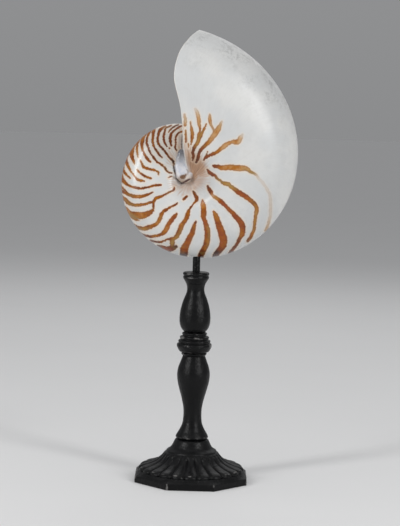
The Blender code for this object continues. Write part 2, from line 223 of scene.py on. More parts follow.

# Stripes of the shell, each by the points it runs through in the picture: across, down and
# width in pixels, then how dark it is there, from 0 for faint tan to 1.6 for dark brown
# A tone that rises to 1.3 to 1.6 at a stripe's end on the shell's lower rim is partly painted
# shade
STRIPES = {
    "lip_side": (
        (184.5, 130.2, 1.2, 1), (182.3, 131.2, 1.3, 1.1), (179.1, 132.6, 1.3, 1.2),
        (176.7, 135.4, 1.4, 1.25), (175.6, 139.6, 1.4, 1.3), (175.6, 144.3, 1.4, 1.3),
        (174.9, 147.5, 1.5, 1.35), (176.5, 150.3, 1.2, 1.4)),
    "fork": (
        (182.5, 125.6, 1.3, 1.1), (179.1, 127, 1.5, 1.2), (175.8, 129.3, 1.8, 1.25),
        (172.5, 132.1, 2, 1.3), (170.7, 135.4, 2.5, 1.35), (170.2, 139.6, 2.7, 1.35),
        (170.7, 143.8, 2, 1.3), (171.4, 146, 0.9, 1.2)),
    "fork_inner": (
        (178.5, 124.6, 1.1, 1.2), (175.3, 125.9, 1.3, 1.3), (172.1, 128.2, 1.4, 1.35),
        (170.2, 130, 1.3, 1.3), (168.8, 131.9, 1, 1.1)),
    "third": (
        (171.2, 125.4, 1.3, 1.1), (168.3, 127, 1.4, 1.2), (166, 127.9, 1.5, 1.2),
        (164.6, 132.1, 1.8, 1.3), (163.7, 136.3, 2, 1.3), (163.9, 140.1, 2, 1.3),
        (165.1, 143.3, 1.7, 1.3), (166.7, 146.3, 1.1, 1.3)),
    "long": (
        (165.2, 125.9, 1.8, 1.1), (162.7, 127.5, 2.1, 1.1), (159.9, 130.3, 2.5, 1.15),
        (158.5, 134, 2.2, 1.2), (157.6, 138.7, 2.2, 1.2), (158.1, 142.4, 2, 1.25),
        (159.9, 146.1, 1.8, 1.25), (162.7, 148.9, 1.7, 1.3), (165.5, 152.2, 1.7, 1.3),
        (167.9, 155.5, 1.7, 1.3), (170.2, 158.7, 1.8, 1.35), (173, 161.1, 1.9, 1.4),
        (174.2, 163.9, 1.5, 1.4)),
    "fifth": (
        (157, 125.6, 2.2, 1), (154.8, 127.9, 2.5, 1), (153.4, 132.1, 2.8, 1.05),
        (152.9, 136.8, 2.4, 1.1), (152.7, 141, 2.2, 1.15), (153.4, 145.2, 2, 1.2),
        (155.3, 148.9, 1.8, 1.2), (157.6, 152.2, 1.8, 1.25), (159.9, 155.5, 1.7, 1.3),
        (161.8, 157.3, 1.2, 1.3)),
    "sixth": (
        (150.4, 130.4, 2.2, 1), (148.3, 134.5, 2, 1.05), (147.3, 137.7, 1.8, 1.1),
        (146.6, 141.5, 1.8, 1.1), (147.3, 145.2, 1.7, 1.15), (148.7, 148.9, 1.7, 1.2),
        (150.1, 152.7, 1.7, 1.2), (152.5, 155.9, 1.8, 1.2), (154.8, 159.2, 1.7, 1.2),
        (157.1, 162, 1.7, 1.2), (159.9, 163.4, 1.7, 1.25), (162.7, 165.7, 1.7, 1.25),
        (165.1, 168.1, 1.7, 1.3), (166.9, 170.9, 1.8, 1.3), (169.7, 172.7, 1.6, 1.35),
        (171.6, 173.2, 1.2, 1.35)),
    "seventh": (
        (145.2, 133.8, 2.8, 1), (143.1, 138.2, 3.2, 1), (142.2, 141.9, 3.4, 1),
        (141.7, 146.1, 2.4, 1.05), (142.7, 149.9, 1.9, 1.1), (144.1, 153.6, 1.9, 1.1),
        (145.9, 156.9, 2.2, 1.1), (148.3, 159.7, 2.4, 1.15), (150.6, 162, 1.5, 1.1)),
    "eighth": (
        (139.6, 138.6, 2, 0.95), (137.5, 142.9, 2, 0.95), (137.1, 146.1, 2.1, 1),
        (137.1, 149.9, 1.9, 0.9), (137.5, 153.6, 1.4, 0.7), (138, 157.3, 0.9, 0.45)),
    "eighth_low": (
        (140.3, 160.1, 1, 0.7), (141.7, 163.4, 1.8, 0.95), (143.1, 166.2, 2.5, 1),
        (145.9, 168.1, 2.6, 1.05), (149.7, 169, 2.2, 1.05), (153.4, 169.9, 1.9, 1.1),
        (156.7, 171.3, 1.7, 1.15), (158.5, 172.3, 1.5, 1.2), (158.5, 174.6, 1, 1.2)),
    "ninth": (
        (134.6, 144, 2.6, 0.95), (132.9, 148, 3.2, 0.95), (131.5, 152.7, 4, 1),
        (131.9, 156.4, 3.6, 1), (133.3, 160.1, 2.6, 0.9), (134.3, 163.4, 1.4, 0.6)),
    "ninth_low": (
        (137.1, 169.5, 1, 0.7), (138.9, 171.8, 1.6, 0.95), (141.7, 174.1, 1.7, 1),
        (144.5, 176, 1.9, 1.1), (147.8, 177.4, 1.9, 1.15), (151.1, 178.3, 1.5, 1.2)),
    "tenth": (
        (128.2, 153.4, 2, 0.95), (126.6, 157, 2.2, 0.95), (126.3, 159.7, 2.4, 1),
        (126.8, 162.9, 2.7, 1), (128.2, 166.2, 2.4, 1), (129.6, 169, 1.7, 0.9),
        (131, 171.8, 1.2, 0.75), (133.3, 174.6, 1.2, 0.8), (135.7, 177.4, 1.5, 0.95),
        (138, 179.7, 2.1, 1.05), (141.3, 180.7, 2.4, 1.1), (144.1, 181.1, 1.5, 1.1)),
    "eleventh": (
        (123.6, 163.2, 1.8, 0.95), (123.1, 168.5, 2.2, 0.95), (124, 171.8, 2.3, 1),
        (125.9, 174.1, 2, 1), (128.2, 176.5, 1.6, 0.9), (130.5, 178.3, 1, 0.7)),
    "twelfth": (
        (121.3, 173.4, 2.2, 0.95), (122.1, 177.4, 2.8, 0.95), (123.1, 180.2, 3.5, 1),
        (124.9, 182.5, 3.1, 1), (127.7, 184.9, 2.2, 1), (130.5, 186.3, 1.9, 1),
        (134.3, 187.2, 2, 1), (138, 188.1, 2.2, 1.05), (141.7, 188.4, 2.1, 1.1),
        (145, 187.7, 1.9, 1.1), (149.7, 186.7, 1.8, 1.1), (154.3, 185.6, 2.1, 1.15),
        (158.1, 185.1, 2.2, 1.2), (160.9, 184.9, 1.4, 1.2)),
    "thirteenth": (
        (119.8, 187.6, 1.4, 0.95), (121, 189.6, 1.9, 0.95), (123.2, 191.9, 2.3, 1),
        (127.8, 194.2, 2.5, 1), (133.4, 196.2, 3.1, 1), (137.4, 196.6, 3.2, 1),
        (141.4, 196.4, 3, 1.05), (145.3, 195.6, 2.6, 1.1), (149.3, 193.9, 1.9, 1.15),
        (152.7, 192.2, 1.1, 1.2)),
    "thirteenth_strand": (
        (120.2, 183.6, 1.2, 0.95), (121.2, 186.2, 1.4, 0.95), (124.4, 189.6, 1.4, 1),
        (127.2, 192.5, 1.2, 1)),
    "fourteenth": (
        (120.8, 194.8, 2, 0.95), (122.7, 197.6, 2.7, 0.95), (125.5, 199.8, 3.5, 1),
        (128.3, 202.7, 3.6, 1), (131.7, 204.4, 2.8, 1), (136.3, 205.2, 2.7, 1),
        (140.8, 204.9, 2.6, 1), (145.3, 204.1, 2.3, 1.05), (149.9, 202.7, 1.9, 1.1),
        (153.3, 201.8, 1.6, 1.15)),
    "bridge": (
        (153.3, 208.3, 1.6, 1.15), (153.4, 205, 1.8, 1.15), (153.8, 201.5, 2.6, 1.1),
        (155.5, 198.7, 3, 1.1), (157.8, 197.6, 3, 1.1), (161.2, 196.4, 2.2, 1.15),
        (165.2, 194.4, 1.6, 1.2), (169.1, 192.2, 1.5, 1.2), (172.2, 191, 1.6, 1.2),
        (173.9, 189.2, 2, 1.1), (174.4, 187.6, 1.2, 1)),
    "fifteenth": (
        (125, 207.2, 2, 0.95), (127.8, 210.6, 2.9, 0.95), (130, 212.9, 3.6, 1),
        (133.4, 214, 4.6, 1), (136.8, 215.1, 6, 0.98), (140.8, 215.7, 6.8, 0.98),
        (144.8, 214.9, 6, 1), (148.7, 213.2, 5, 1.05), (152.1, 211.2, 3, 1.1),
        (153.3, 208.3, 1.8, 1.15)),
    "fifteenth_low": (
        (129.6, 214.8, 2, 1), (132.6, 217.6, 2.4, 1), (135.8, 219.4, 2.2, 0.95),
        (138.6, 220.2, 1.2, 0.85)),
    "sixteenth": (
        (134.2, 224.8, 2, 1.2), (136.8, 227, 2.6, 1.15), (140.8, 228.2, 3.2, 1.1),
        (144.2, 228.7, 3.6, 1), (148.2, 227.6, 4.2, 1), (152.1, 226.2, 3.7, 1),
        (156.1, 224.2, 3.4, 1.05), (158.9, 220.8, 3.5, 1.05), (160.6, 216.8, 3.6, 1),
        (161.8, 214, 3.2, 1.05), (164, 211.2, 3.1, 1.05), (166.3, 209.7, 2.8, 1.1),
        (169.1, 207.8, 1.8, 1.15), (172.5, 206.1, 1.6, 1.2), (175.9, 204.4, 1.6, 1.2),
        (177.3, 203.2, 1.1, 1.2)),
    "spot": ((183.3, 199.5, 1.6, 1.1), (185, 198, 2.4, 1.25), (186.7, 196.4, 1.8, 1.2)),
    "seventeenth": (
        (141.4, 233.6, 1.2, 1.3), (144.2, 235.3, 1.7, 1.3), (147.6, 236.1, 2, 1.25),
        (151, 236.7, 2.3, 1.15), (154.4, 236.1, 2.3, 1.1), (158.4, 235.3, 2.6, 1.05),
        (162.3, 233.8, 3.2, 1), (165.2, 231, 4.4, 1), (166.9, 228.2, 4.5, 1),
        (168, 225.3, 4.3, 1.05), (170.3, 221.9, 4.1, 1.1), (172.5, 219.1, 4, 1.1),
        (174.8, 216.3, 3.6, 1.15), (176.4, 213.6, 1.6, 1.2)),
    "eighteenth": (
        (150.2, 240.2, 1, 1.35), (152.7, 241.2, 1.5, 1.35), (156.7, 241.8, 1.7, 1.25),
        (160.6, 242, 1.8, 1.1), (164.6, 240.6, 1.5, 1.1), (168, 239.2, 1.6, 1.1),
        (172.5, 238.9, 3, 1.1), (175.9, 237.2, 3.8, 1.05), (178.2, 233.8, 4.4, 1.05),
        (179.9, 229.9, 4.6, 1.05), (181, 226.5, 4.4, 1.05), (182.7, 223.6, 4.1, 1.05),
        (185, 220.8, 3.7, 1.1), (186.7, 217.4, 4, 1.1), (187.8, 214, 4, 1.05),
        (188.4, 211.2, 3, 1.05), (190.1, 208.3, 1.6, 1.15), (191.8, 206.1, 1.4, 1.2),
        (194, 203.2, 1.1, 1.1)),
    "olive": ((171.8, 239.4, 4.6, 1.15), (172.4, 242.4, 4.6, 1.15), (171.8, 246, 3.8, 1.35)),
    "nineteenth": (
        (157.8, 245.4, 1.2, 1.4), (160.6, 246.6, 2.6, 1.4), (164.6, 248.4, 4.2, 1.35),
        (169, 249.2, 5.4, 1.4), (173, 248, 5, 1.4), (176.4, 246.2, 2.2, 1.4)),
    "broad": (
        (183.7, 255.2, 7.2, 1.6), (183.9, 253.1, 7.5, 1.45), (184.4, 249.1, 7.5, 1.1),
        (186.1, 245.2, 6.3, 1.05), (188.4, 240.6, 5.5, 1.05), (190.7, 236.1, 5.1, 1.1),
        (192.4, 232.1, 4.6, 1.1), (193.5, 228.2, 4, 1.15), (194.6, 224.8, 3, 1.15),
        (195.9, 221.4, 1.2, 1.1)),
    "short_low": (
        (193.2, 191.4, 1.4, 1.3), (195.2, 195, 3, 1.3), (196.7, 197.9, 3.4, 1.2),
        (196.4, 200.3, 3, 1.1), (194.6, 202.8, 1.4, 1)),
    "straight": (
        (202.4, 200.4, 1.6, 0.9), (203.1, 204.4, 4.5, 0.95), (203.7, 208.5, 5, 1),
        (203.7, 213.2, 5, 1.05), (203.4, 216.7, 4.4, 1.05), (204.6, 220.2, 3.9, 1.1),
        (205.8, 223.8, 4.4, 1.1), (206.9, 227.9, 5, 1.1), (207.5, 232, 5.3, 1.1),
        (207.5, 236.7, 5.6, 1.1), (206.9, 241.4, 5.3, 1.1), (205.8, 245.5, 5.2, 1.15),
        (204, 249, 5.4, 1.2), (202.3, 252.5, 5.6, 1.4), (200.6, 256, 5.6, 1.6)),
    "wedge": (
        (213.4, 211.2, 1.4, 0.9), (215.2, 214.4, 3.8, 1), (216.9, 218.5, 5, 1.05),
        (218.1, 222.6, 5.5, 1.1), (219.3, 226.7, 6.2, 1.1), (221, 230.8, 6.6, 1.1),
        (222.2, 234.9, 7.1, 1.1), (223.4, 239, 7.4, 1.1), (223.4, 243.1, 7.2, 1.1),
        (222.2, 246.6, 6.4, 1.15), (219.9, 249.6, 5.7, 1.3), (217.5, 252.5, 5.5, 1.5),
        (215.2, 256, 5.5, 1.6)),
    "bend": (
        (207.6, 186.2, 1.8, 1.3), (209.3, 189.7, 3.4, 1.3), (211.1, 192.1, 3.4, 1.25),
        (212.2, 195, 2.6, 0.9), (215.2, 197.4, 3.1, 0.7), (218.7, 199.7, 3.5, 0.85),
        (221.6, 202.1, 4.1, 1.2), (224.5, 205, 3.1, 1.25), (226.9, 207.3, 3.2, 1.1),
        (229.8, 210.3, 3.5, 1.1), (232.8, 213.2, 4.1, 1.1), (235.1, 216.1, 4.6, 1.1),
        (238, 219.1, 5.1, 1.1), (240.4, 222, 5.4, 1.1), (242.1, 225.5, 5.7, 1.1),
        (242.7, 229, 5.4, 1.05), (242.4, 232.6, 4.9, 1.05), (241, 236.1, 3.9, 1.1),
        (239.2, 239.6, 3.1, 1.15), (237.5, 243.1, 2.7, 1.2), (235.1, 246.6, 2.6, 1.3),
        (232.2, 250.2, 3, 1.4), (229.8, 253, 3, 1.5)),
    "arch": (
        (207.2, 169.6, 1.4, 1.4), (209.7, 172.8, 3.2, 1.3), (212.8, 174.7, 3, 1.2),
        (215.4, 175.9, 2.5, 1.15), (217.3, 178.5, 2.1, 1.1), (219.8, 180.4, 2, 1.05),
        (222.3, 182.3, 2.5, 0.95), (225.5, 183.6, 3.3, 0.9), (228.7, 184.3, 3.6, 0.85),
        (230.6, 186.4, 3.2, 0.9), (232.6, 187.8, 3.8, 0.85), (235, 189.6, 4.2, 1),
        (239, 192.4, 4.5, 1.1), (243.3, 195, 4.6, 1.15), (246.8, 197.4, 4.6, 1.15),
        (250.4, 200.3, 4.1, 1.1), (253.3, 202.6, 3.8, 1), (255.6, 205.6, 3.6, 0.9),
        (256.8, 209.1, 3.6, 0.85), (256.2, 213.2, 3.3, 0.85), (255.3, 217.9, 3, 0.9),
        (254.8, 222.6, 2.7, 0.9), (254.5, 226.7, 2.6, 0.9), (253.6, 230.8, 2.8, 0.9),
        (252.1, 233.7, 3, 1), (250.9, 236.7, 3, 1.1), (249.2, 239, 2.6, 1.1),
        (247.6, 241, 2.2, 1.1)),
    "faint": (
        (212.6, 165.8, 1.2, 1.4), (214.2, 166.1, 2.6, 1.3), (217.3, 166.4, 3.4, 1.1),
        (221.7, 167.7, 4.5, 0.85), (226.1, 167.7, 4.9, 0.7), (229.9, 167.4, 5.3, 0.7),
        (234.4, 167.7, 5.3, 0.8), (238.8, 168.3, 5.4, 0.7), (243.2, 168.3, 5, 0.65),
        (247, 169, 4, 0.6), (250.2, 171.5, 3, 0.6), (254, 173.4, 2.3, 0.4),
        (256.5, 175.3, 2, 0.28), (259.7, 179.8, 2.2, 0.17), (262.7, 182.7, 2.3, 0.16),
        (265.6, 186.8, 2.3, 0.18), (268, 190.9, 2.3, 0.2), (269.7, 195, 2.4, 0.2),
        (270.6, 204.4, 2.4, 0.22), (270.3, 215, 2.3, 0.24), (269.1, 220.2, 2.3, 0.28),
        (267.4, 226.7, 2.2, 0.36), (265.6, 230.6, 2, 0.42)),
    "upper_arm": (
        (203.6, 160, 1.2, 1.4), (204.6, 158.8, 2, 1.4), (206.5, 156.9, 2.8, 1.3),
        (209.7, 155.4, 2.7, 1.2), (213.5, 153.8, 3.1, 1.1), (217.3, 151.9, 3.1, 1),
        (221.1, 148.7, 3.5, 0.8), (223.6, 146.8, 4, 0.7), (226.8, 144.3, 3.8, 0.65),
        (230.6, 142.4, 3, 0.6), (233.7, 141.7, 3.8, 0.6), (236.9, 142.4, 4.5, 0.6),
        (238.8, 141.1, 4.4, 0.5), (240.4, 137.9, 3.6, 0.35), (242.6, 134.8, 2, 0.22)),
    "upper_arm_spur": ((207.4, 152, 1, 1.2), (206.5, 155.7, 1.6, 1.3)),
    "tall": (
        (196.2, 162.4, 1.4, 1.3), (197, 160.7, 2.4, 1.35), (198.3, 156.9, 3, 1.35),
        (198.9, 153.8, 2.6, 1.35), (200.8, 150, 3, 1.25), (203.3, 147.4, 3.2, 1.1),
        (206.5, 144.3, 3.5, 0.85), (209, 141.7, 3.9, 0.7), (211.6, 138.6, 4.5, 0.62),
        (214.1, 134.8, 5.1, 0.62), (216.6, 131.6, 5, 0.6), (218.5, 128.4, 4.4, 0.5),
        (220.4, 124.6, 2.6, 0.4), (221.7, 121.5, 1.6, 0.25)),
    "tall_tip": (
        (209.6, 114.6, 1.6, 0.35), (210, 118.9, 3, 0.5), (210.3, 122.7, 3, 0.55),
        (210.9, 124.6, 2.2, 0.55), (212.5, 127.8, 1.6, 0.5), (214.4, 130.6, 2, 0.55)),
    "slender": (
        (192.6, 160.4, 1.4, 1.25), (193.5, 156.3, 2.4, 1.3), (192.9, 152.5, 2.6, 1.3),
        (193.8, 148.7, 2.8, 1.2), (195.7, 145.5, 3, 1.1), (197.6, 142.4, 3.3, 0.95),
        (198.9, 139.2, 3.4, 0.9), (200.8, 135.4, 3, 0.9), (202.7, 131.6, 2.2, 0.95),
        (204.6, 127.8, 1.7, 0.9), (206.2, 124, 1, 0.7)),
    "slender_fork": (
        (197.8, 140.4, 2, 0.95), (198.3, 135.4, 2.1, 0.95), (199.9, 131.6, 1.8, 0.95),
        (200.3, 128.4, 1.6, 0.9)),
    "slender_tip": (
        (200.2, 127.2, 1.8, 0.75), (199.2, 124.6, 3, 0.6), (198.6, 120.8, 3.5, 0.5),
        (198.3, 116.4, 3.5, 0.42), (197, 112, 3, 0.32), (195.1, 109, 2, 0.2)),
    "short": (
        (191.1, 144, 1, 0.95), (191.9, 139.2, 2.4, 0.95), (192.3, 135.4, 3, 0.85),
        (191.6, 130.3, 2.6, 0.75), (191, 125.9, 1.6, 0.6), (190.3, 121.6, 0.9, 0.45)),
    "edge_tan": ((184.6, 114.6, 2, 0.3), (185.3, 120.8, 2.8, 0.42), (185, 125.2, 2.4, 0.45)),
    "edge_brown": (
        (185.5, 130.4, 1.2, 0.6), (185.8, 134.6, 1.6, 0.8), (185.9, 138.6, 1.6, 0.9),
        (185.9, 142.4, 1.3, 0.9)),
    "edge_dot": ((188.4, 143, 0.9, 0.6), (188.5, 147.6, 1, 0.7)),
    "dot": ((169.2, 147.6, 1.2, 1.1), (169.4, 148.5, 1.2, 1.1)),
    "faint_dash": ((168.3, 177.4, 1, 0.9), (171.2, 176.5, 1.2, 1.2)),
}

# Stained funnel of the umbilicus, and painted shade under the lip and left of the callus, in the
# same way
FUNNEL = {
    "upper": (
        (184.2, 136, 1.4, 0.35), (185.2, 143, 2.6, 0.6), (187, 149, 5, 0.8), (189.6, 155, 9, 0.95),
        (194, 162, 15, 1), (198.4, 168, 16, 0.95), (201, 173, 11, 0.8)),
    # painted shade under the lip's edge
    "shade": (
        (181, 127, 1, 0.4), (180.4, 134, 3, 0.55), (179.8, 141, 5, 0.65), (178.6, 148, 6, 0.65),
        (176.6, 155, 4, 0.5)),
    # painted shade left of the callus
    "callus_left_shade": ((170, 151, 3, 0.2), (173.6, 157, 3.6, 0.35), (171.6, 163, 2.4, 0.3)),
    "lower": (
        (173, 182.6, 3, 0.25), (178, 186.6, 6, 0.3), (186, 187.6, 9, 0.4), (194, 184, 12, 0.55),
        (202, 179, 8, 0.5)),
    "rim": ((190, 160, 6, 1), (193, 168, 9, 1), (195, 175, 9, 1), (194, 181, 8, 0.7)),
}
# Dark lines round the callus, in the same way: painted shadow, brown painted shade, the slit and
# stains
DARK_LINES = {
    # painted shadow in the recess left of the callus
    "recess_shadow": (
        (172.2, 158.6, 1.2, 0.7), (173, 161.4, 1.6, 0.85), (173.4, 164.4, 1.4, 0.7),
        (173.9, 168, 2, 0.95), (174.6, 171.4, 2, 0.9), (175.4, 174.2, 1.4, 0.5),
        (176.4, 176.4, 1, 0.35)),
    # brown painted shade of the junction at the callus's lower left
    "recess_shade_brown": (
        (169.6, 175.6, 0.8, 0.3), (172.8, 176.8, 1.6, 0.36), (176, 178.6, 2, 0.36),
        (178.8, 180.2, 2.2, 0.36), (181.4, 181.6, 1.6, 0.4)),
    "slit": (
        (181.4, 183.4, 1.4, 1.2), (184.2, 182.2, 2.2, 1.25), (188, 180, 2.1, 1.25),
        (190.6, 179.1, 1.2, 1.1)),
    "spot": (
        (180.6, 177.6, 2.6, 0.66), (182.4, 177.2, 4.8, 0.68), (184.4, 176.2, 3.4, 0.66),
        (186, 174.4, 1.4, 0.6)),
    "spot_low": ((178.8, 178.4, 2.6, 0.32), (181.2, 180, 3, 0.36), (184.2, 180.4, 2, 0.34)),
    "tan_edge": ((186.8, 169.6, 0.8, 0.4), (188.2, 171.6, 1.2, 0.5), (187.4, 174.4, 1, 0.4)),
    # painted shadow where the lip's edge overhangs the whorl within
    "lip_shadow_line": (
        (182, 134.6, 0.6, 0.5), (181.8, 139, 0.9, 0.8), (181.6, 143.6, 1, 0.9),
        (181.8, 148.4, 0.8, 0.7)),
}
# Places where the stripes turn olive yellow or rusty red, in the same way
OLIVE_PLACES = {
    "arch": (
        (217, 178.4, 3, 0.8), (221.4, 181.4, 4, 1), (226.4, 183.8, 5, 1), (231.6, 186.2, 5, 1),
        (237, 188.2, 4, 0.8)),
    "arch_low": (
        (254.6, 204.6, 3, 0.5), (256.6, 211, 4, 0.6), (255.2, 219.6, 4, 0.6),
        (253.6, 229, 3, 0.5)),
    "faint": ((243.6, 169.4, 4, 0.6), (249, 171, 4, 0.9), (254.6, 173.6, 3, 0.9)),
    "straight": (
        (207.8, 224, 2, 0.6), (209.4, 233, 2.6, 0.9), (209, 243, 2.6, 0.9),
        (206.4, 250.6, 2.4, 0.6)),
    "bend": ((213.4, 195.6, 3, 0.5), (217.8, 198.6, 3, 0.6)),
    "fifteenth": ((129, 214.4, 4, 0.9), (134.6, 217.4, 4, 1), (140.4, 218.8, 3, 0.7)),
    "sixteenth": ((136, 228, 3, 0.7), (142, 229.4, 3, 0.9), (149, 228.6, 3, 0.7)),
    "fourteenth": ((125, 200, 3, 0.6), (131, 204.6, 3, 0.8), (138, 205.6, 2, 0.6)),
    "eighteenth": (
        (183.4, 226, 3, 0.5), (180.4, 233.6, 4, 0.9), (176, 239, 4, 0.8), (171.6, 242.6, 5, 1)),
    "slender": ((195.4, 147, 2, 0.7), (198.8, 138, 2.4, 1), (202.6, 131, 2, 0.8)),
}
RUDDY_PLACES = {
    "arch": ((238.6, 192.2, 4, 0.9), (244, 195.4, 4, 1), (250, 200, 4, 0.8)),
    "arch_start": ((208.6, 171.4, 3, 0.6), (213.6, 175.2, 3, 0.8), (217.6, 179.8, 2, 0.6)),
    "bend": (
        (220.6, 201.4, 4, 0.9), (226.4, 207, 4, 1), (232.6, 213.6, 5, 0.9), (239.4, 221.4, 6, 0.8),
        (242.4, 229.6, 5, 0.7)),
    "wedge": (
        (217.6, 222, 4, 0.6), (220.4, 231, 5, 0.9), (222.4, 240, 6, 1), (219, 248.4, 5, 0.8)),
    "broad": ((192, 231, 3, 0.5), (188, 241, 5, 0.8), (184.8, 249, 6, 0.7)),
    "tall": ((198.8, 154.6, 2, 0.6), (202.4, 148.6, 3, 0.7)),
    "upper_arm": ((205.4, 157.6, 3, 0.8), (211.4, 154.8, 3, 0.7)),
    "seventeenth": ((166.4, 230, 3, 0.5), (170.4, 222, 4, 0.8), (174.6, 216.4, 3, 0.8)),
    "straight": ((203.4, 214.6, 3, 0.7), (205, 223, 3, 0.8), (205.6, 233, 3, 0.7)),
    "early": (
        (170.2, 134, 2, 0.8), (170.4, 141, 2, 0.8), (164, 136, 2, 0.8), (164.6, 142, 2, 0.7)),
    "nineteenth": ((164.6, 248.6, 3, 0.8), (171, 249, 4, 0.9)),
}
FUNNEL_CENTRE = (190.0, 181.0)

# Stripes of the whorl's beginning, which the lip hides in part, and where that whorl ends
EARLY_STRIPES = ("lip_side", "fork", "fork_inner", "third", "long", "fifth", "sixth", "seventh",
                 "eighth", "eighth_low", "ninth", "ninth_low", "tenth", "dot", "faint_dash")
EARLY_END = 330.0
LATE_START = 140.0
NO_LINE = 9.0
LINE_STEP = 0.5
LINE_BATCH = 4000
PATCH_SOFTNESS = 3.0

# Grey mottling and painted shade by the keel: start and how fast they grow, in degrees, and width
MOTTLE_START = 376.0
MOTTLE_GROWTH = 26.0
MOTTLE_WIDTH = 0.28
MOTTLE_CORE = 1.5

# Colours, as red, green and blue in linear light
COOL_CHALK = (0.60, 0.61, 0.61)
WARM_CHALK = (0.665, 0.665, 0.65)
FLECK_GREY = (0.50, 0.49, 0.47)
LINE_GREY = (0.52, 0.51, 0.50)
MOTTLE_DARK = (0.24, 0.24, 0.235)
KEEL_SHADE_GREY = (0.46, 0.46, 0.455)
FUNNEL_BROWN = (0.34, 0.180, 0.105)
FUNNEL_TAN = (0.58, 0.37, 0.235)
RAY_BROWN = (0.50, 0.31, 0.20)
STRIPE_TONES = (
    (0.0, (0.56, 0.45, 0.32)), (0.30, (0.52, 0.30, 0.13)), (0.56, (0.38, 0.130, 0.008)),
    (0.74, (0.21, 0.050, 0.006)), (1.0, (0.050, 0.014, 0.008)),
)
TONE_RANGE = 1.6
STRIPE_OLIVE = (0.34, 0.215, 0.060)
STRIPE_RUDDY = (0.30, 0.060, 0.010)
STRIPE_MARGIN = (0.11, 0.030, 0.012)
STRIPE_FRINGE = (0.78, 0.62, 0.46)
STAIN_AND_SHADE_BROWN = (0.15, 0.070, 0.030)
SHADOW_AND_SLIT_BLACK = (0.050, 0.030, 0.020)
SLIT_MAROON = (0.060, 0.010, 0.009)
NACRE_CREAM = ((0.82, 0.76, 0.68), (0.86, 0.82, 0.77))
SIPHUNCLE_TAN = ((0.52, 0.40, 0.30), (0.62, 0.52, 0.43))
SHEEN_GREEN = (0.66, 0.80, 0.76)
SHEEN_PINK = (0.90, 0.70, 0.68)
NACRE_BAND = (0.90, 0.88, 0.84)
NACRE_GRAIN = (0.86, 0.87, 0.88)
PEARL_BLUE = (0.55, 0.58, 0.66)
PEARL_WHITE = (0.70, 0.69, 0.71)
PEARL_CREAM = (0.64, 0.54, 0.44)
PEARL_TOP_SHADE = (0.17, 0.17, 0.19)
CUT_NACRE = ((0.76, 0.71, 0.64), (0.84, 0.81, 0.77))
CUT_CHALK = (0.88, 0.86, 0.82)
CUT_PARTING = (0.42, 0.33, 0.26)
LACQUER_BLACK = ((0.0010, 0.0011, 0.0013), (0.0026, 0.0027, 0.0031))
LACQUER_SCUFF = (0.03, 0.03, 0.031)
BARE_METAL_AND_HIGHLIGHT = (0.16, 0.155, 0.15)
FLOOR_PALE = ((0.76, 0.76, 0.76), (0.78, 0.78, 0.78))

# Sockets of the Mix node for colours
MIX_FACTOR, MIX_FIRST, MIX_SECOND, MIX_COLOUR = 0, 6, 7, 2


# Meshes

def add_object(name, points, faces, material, smooth=True):
    mesh = bpy.data.meshes.new(name)
    mesh.from_pydata([tuple(point) for point in points], [], faces)
    mesh.materials.append(material)
    if smooth:
        mesh.shade_smooth()
    mesh.update()
    item = bpy.data.objects.new(name, mesh)
    bpy.context.scene.collection.objects.link(item)
    return item


def grid_faces(rows, columns, start=0, flip=False):
    faces = []
    for row in range(rows - 1):
        for column in range(columns - 1):
            first = start + row * columns + column
            face = (first, first + columns, first + columns + 1, first + 1)
            faces.append(face[::-1] if flip else face)
    return faces


def store(item, name, values):
    layer = item.data.attributes.new(name, "FLOAT", "POINT")
    layer.data.foreach_set("value", np.asarray(values, dtype=np.float32).ravel())


class Patchwork:
    """Collects grids of points into one mesh."""

    def __init__(self):
        self.points = []
        self.faces = []

    def grid(self, points, flip=False):
        rows, columns = points.shape[:2]
        self.faces += grid_faces(rows, columns, len(self.points), flip)
        self.points += [tuple(point) for point in points.reshape(-1, 3)]

    def build(self, name, material, smooth=True):
        return add_object(name, self.points, self.faces, material, smooth)

    def padded(self, values):
        """Values of the first points, with 0 for all the others."""
        return np.append(values, np.zeros(len(self.points) - np.size(values)))


# Curves

def curve_between(a, b, c, d, t):
    """Smooth curve from b, where t is 0, to c, where t is 1, with a and d as its neighbours."""
    return 0.5 * (2 * b + (c - a) * t + (2 * a - 5 * b + 4 * c - d) * t ** 2
                  + (3 * b - a - 3 * c + d) * t ** 3)


def smooth_line(knots, step):
    """Points about a step apart on a smooth curve through some knots."""
    knots = np.array(knots, dtype=float)
    ends = np.vstack((2 * knots[0] - knots[1], knots, 2 * knots[-1] - knots[-2]))
    parts = []
    for a, b, c, d in zip(ends, ends[1:], ends[2:], ends[3:]):
        count = max(2, int(np.hypot(*(c - b)[:2]) / step))
        t = np.linspace(0.0, 1.0, count, endpoint=False)[:, None]
        parts.append(curve_between(a, b, c, d, t))
    parts.append(knots[-1:])
    return np.vstack(parts)


# Shell's shape

def section_curve(share):
    """Radial and lateral share and growth-line lead, at shares of the section's length."""
    mirrored = (SECTION[1][0], -SECTION[1][1], -SECTION[1][2])
    tail = tuple(2 * a - b for a, b in zip(SECTION[-1], SECTION[-2]))
    knots = np.array([mirrored, *SECTION, tail])
    place = np.clip(share, 0.0, 1.0) * (len(SECTION) - 1)
    index = np.minimum(place.astype(int), len(SECTION) - 2)
    curve = curve_between(*(knots[index + step] for step in range(4)), (place - index)[..., None])
    return curve[..., 0], curve[..., 1], curve[..., 2]


def section_normal(share):
    """Unit vector, radial and lateral, that points into the whorl."""
    step = 0.01
    first = section_curve(np.maximum(share - step, 0.0))
    second = section_curve(np.minimum(share + step, 1.0))
    radial = np.where(share < step, 0.0, second[0] - first[0])
    lateral = second[1] - first[1]
    length = np.hypot(radial, lateral)
    return -lateral / length, radial / length


def whorl_radius(angle):
    return SPIRAL_START * np.exp(SPIRAL_RATE * np.radians(angle))


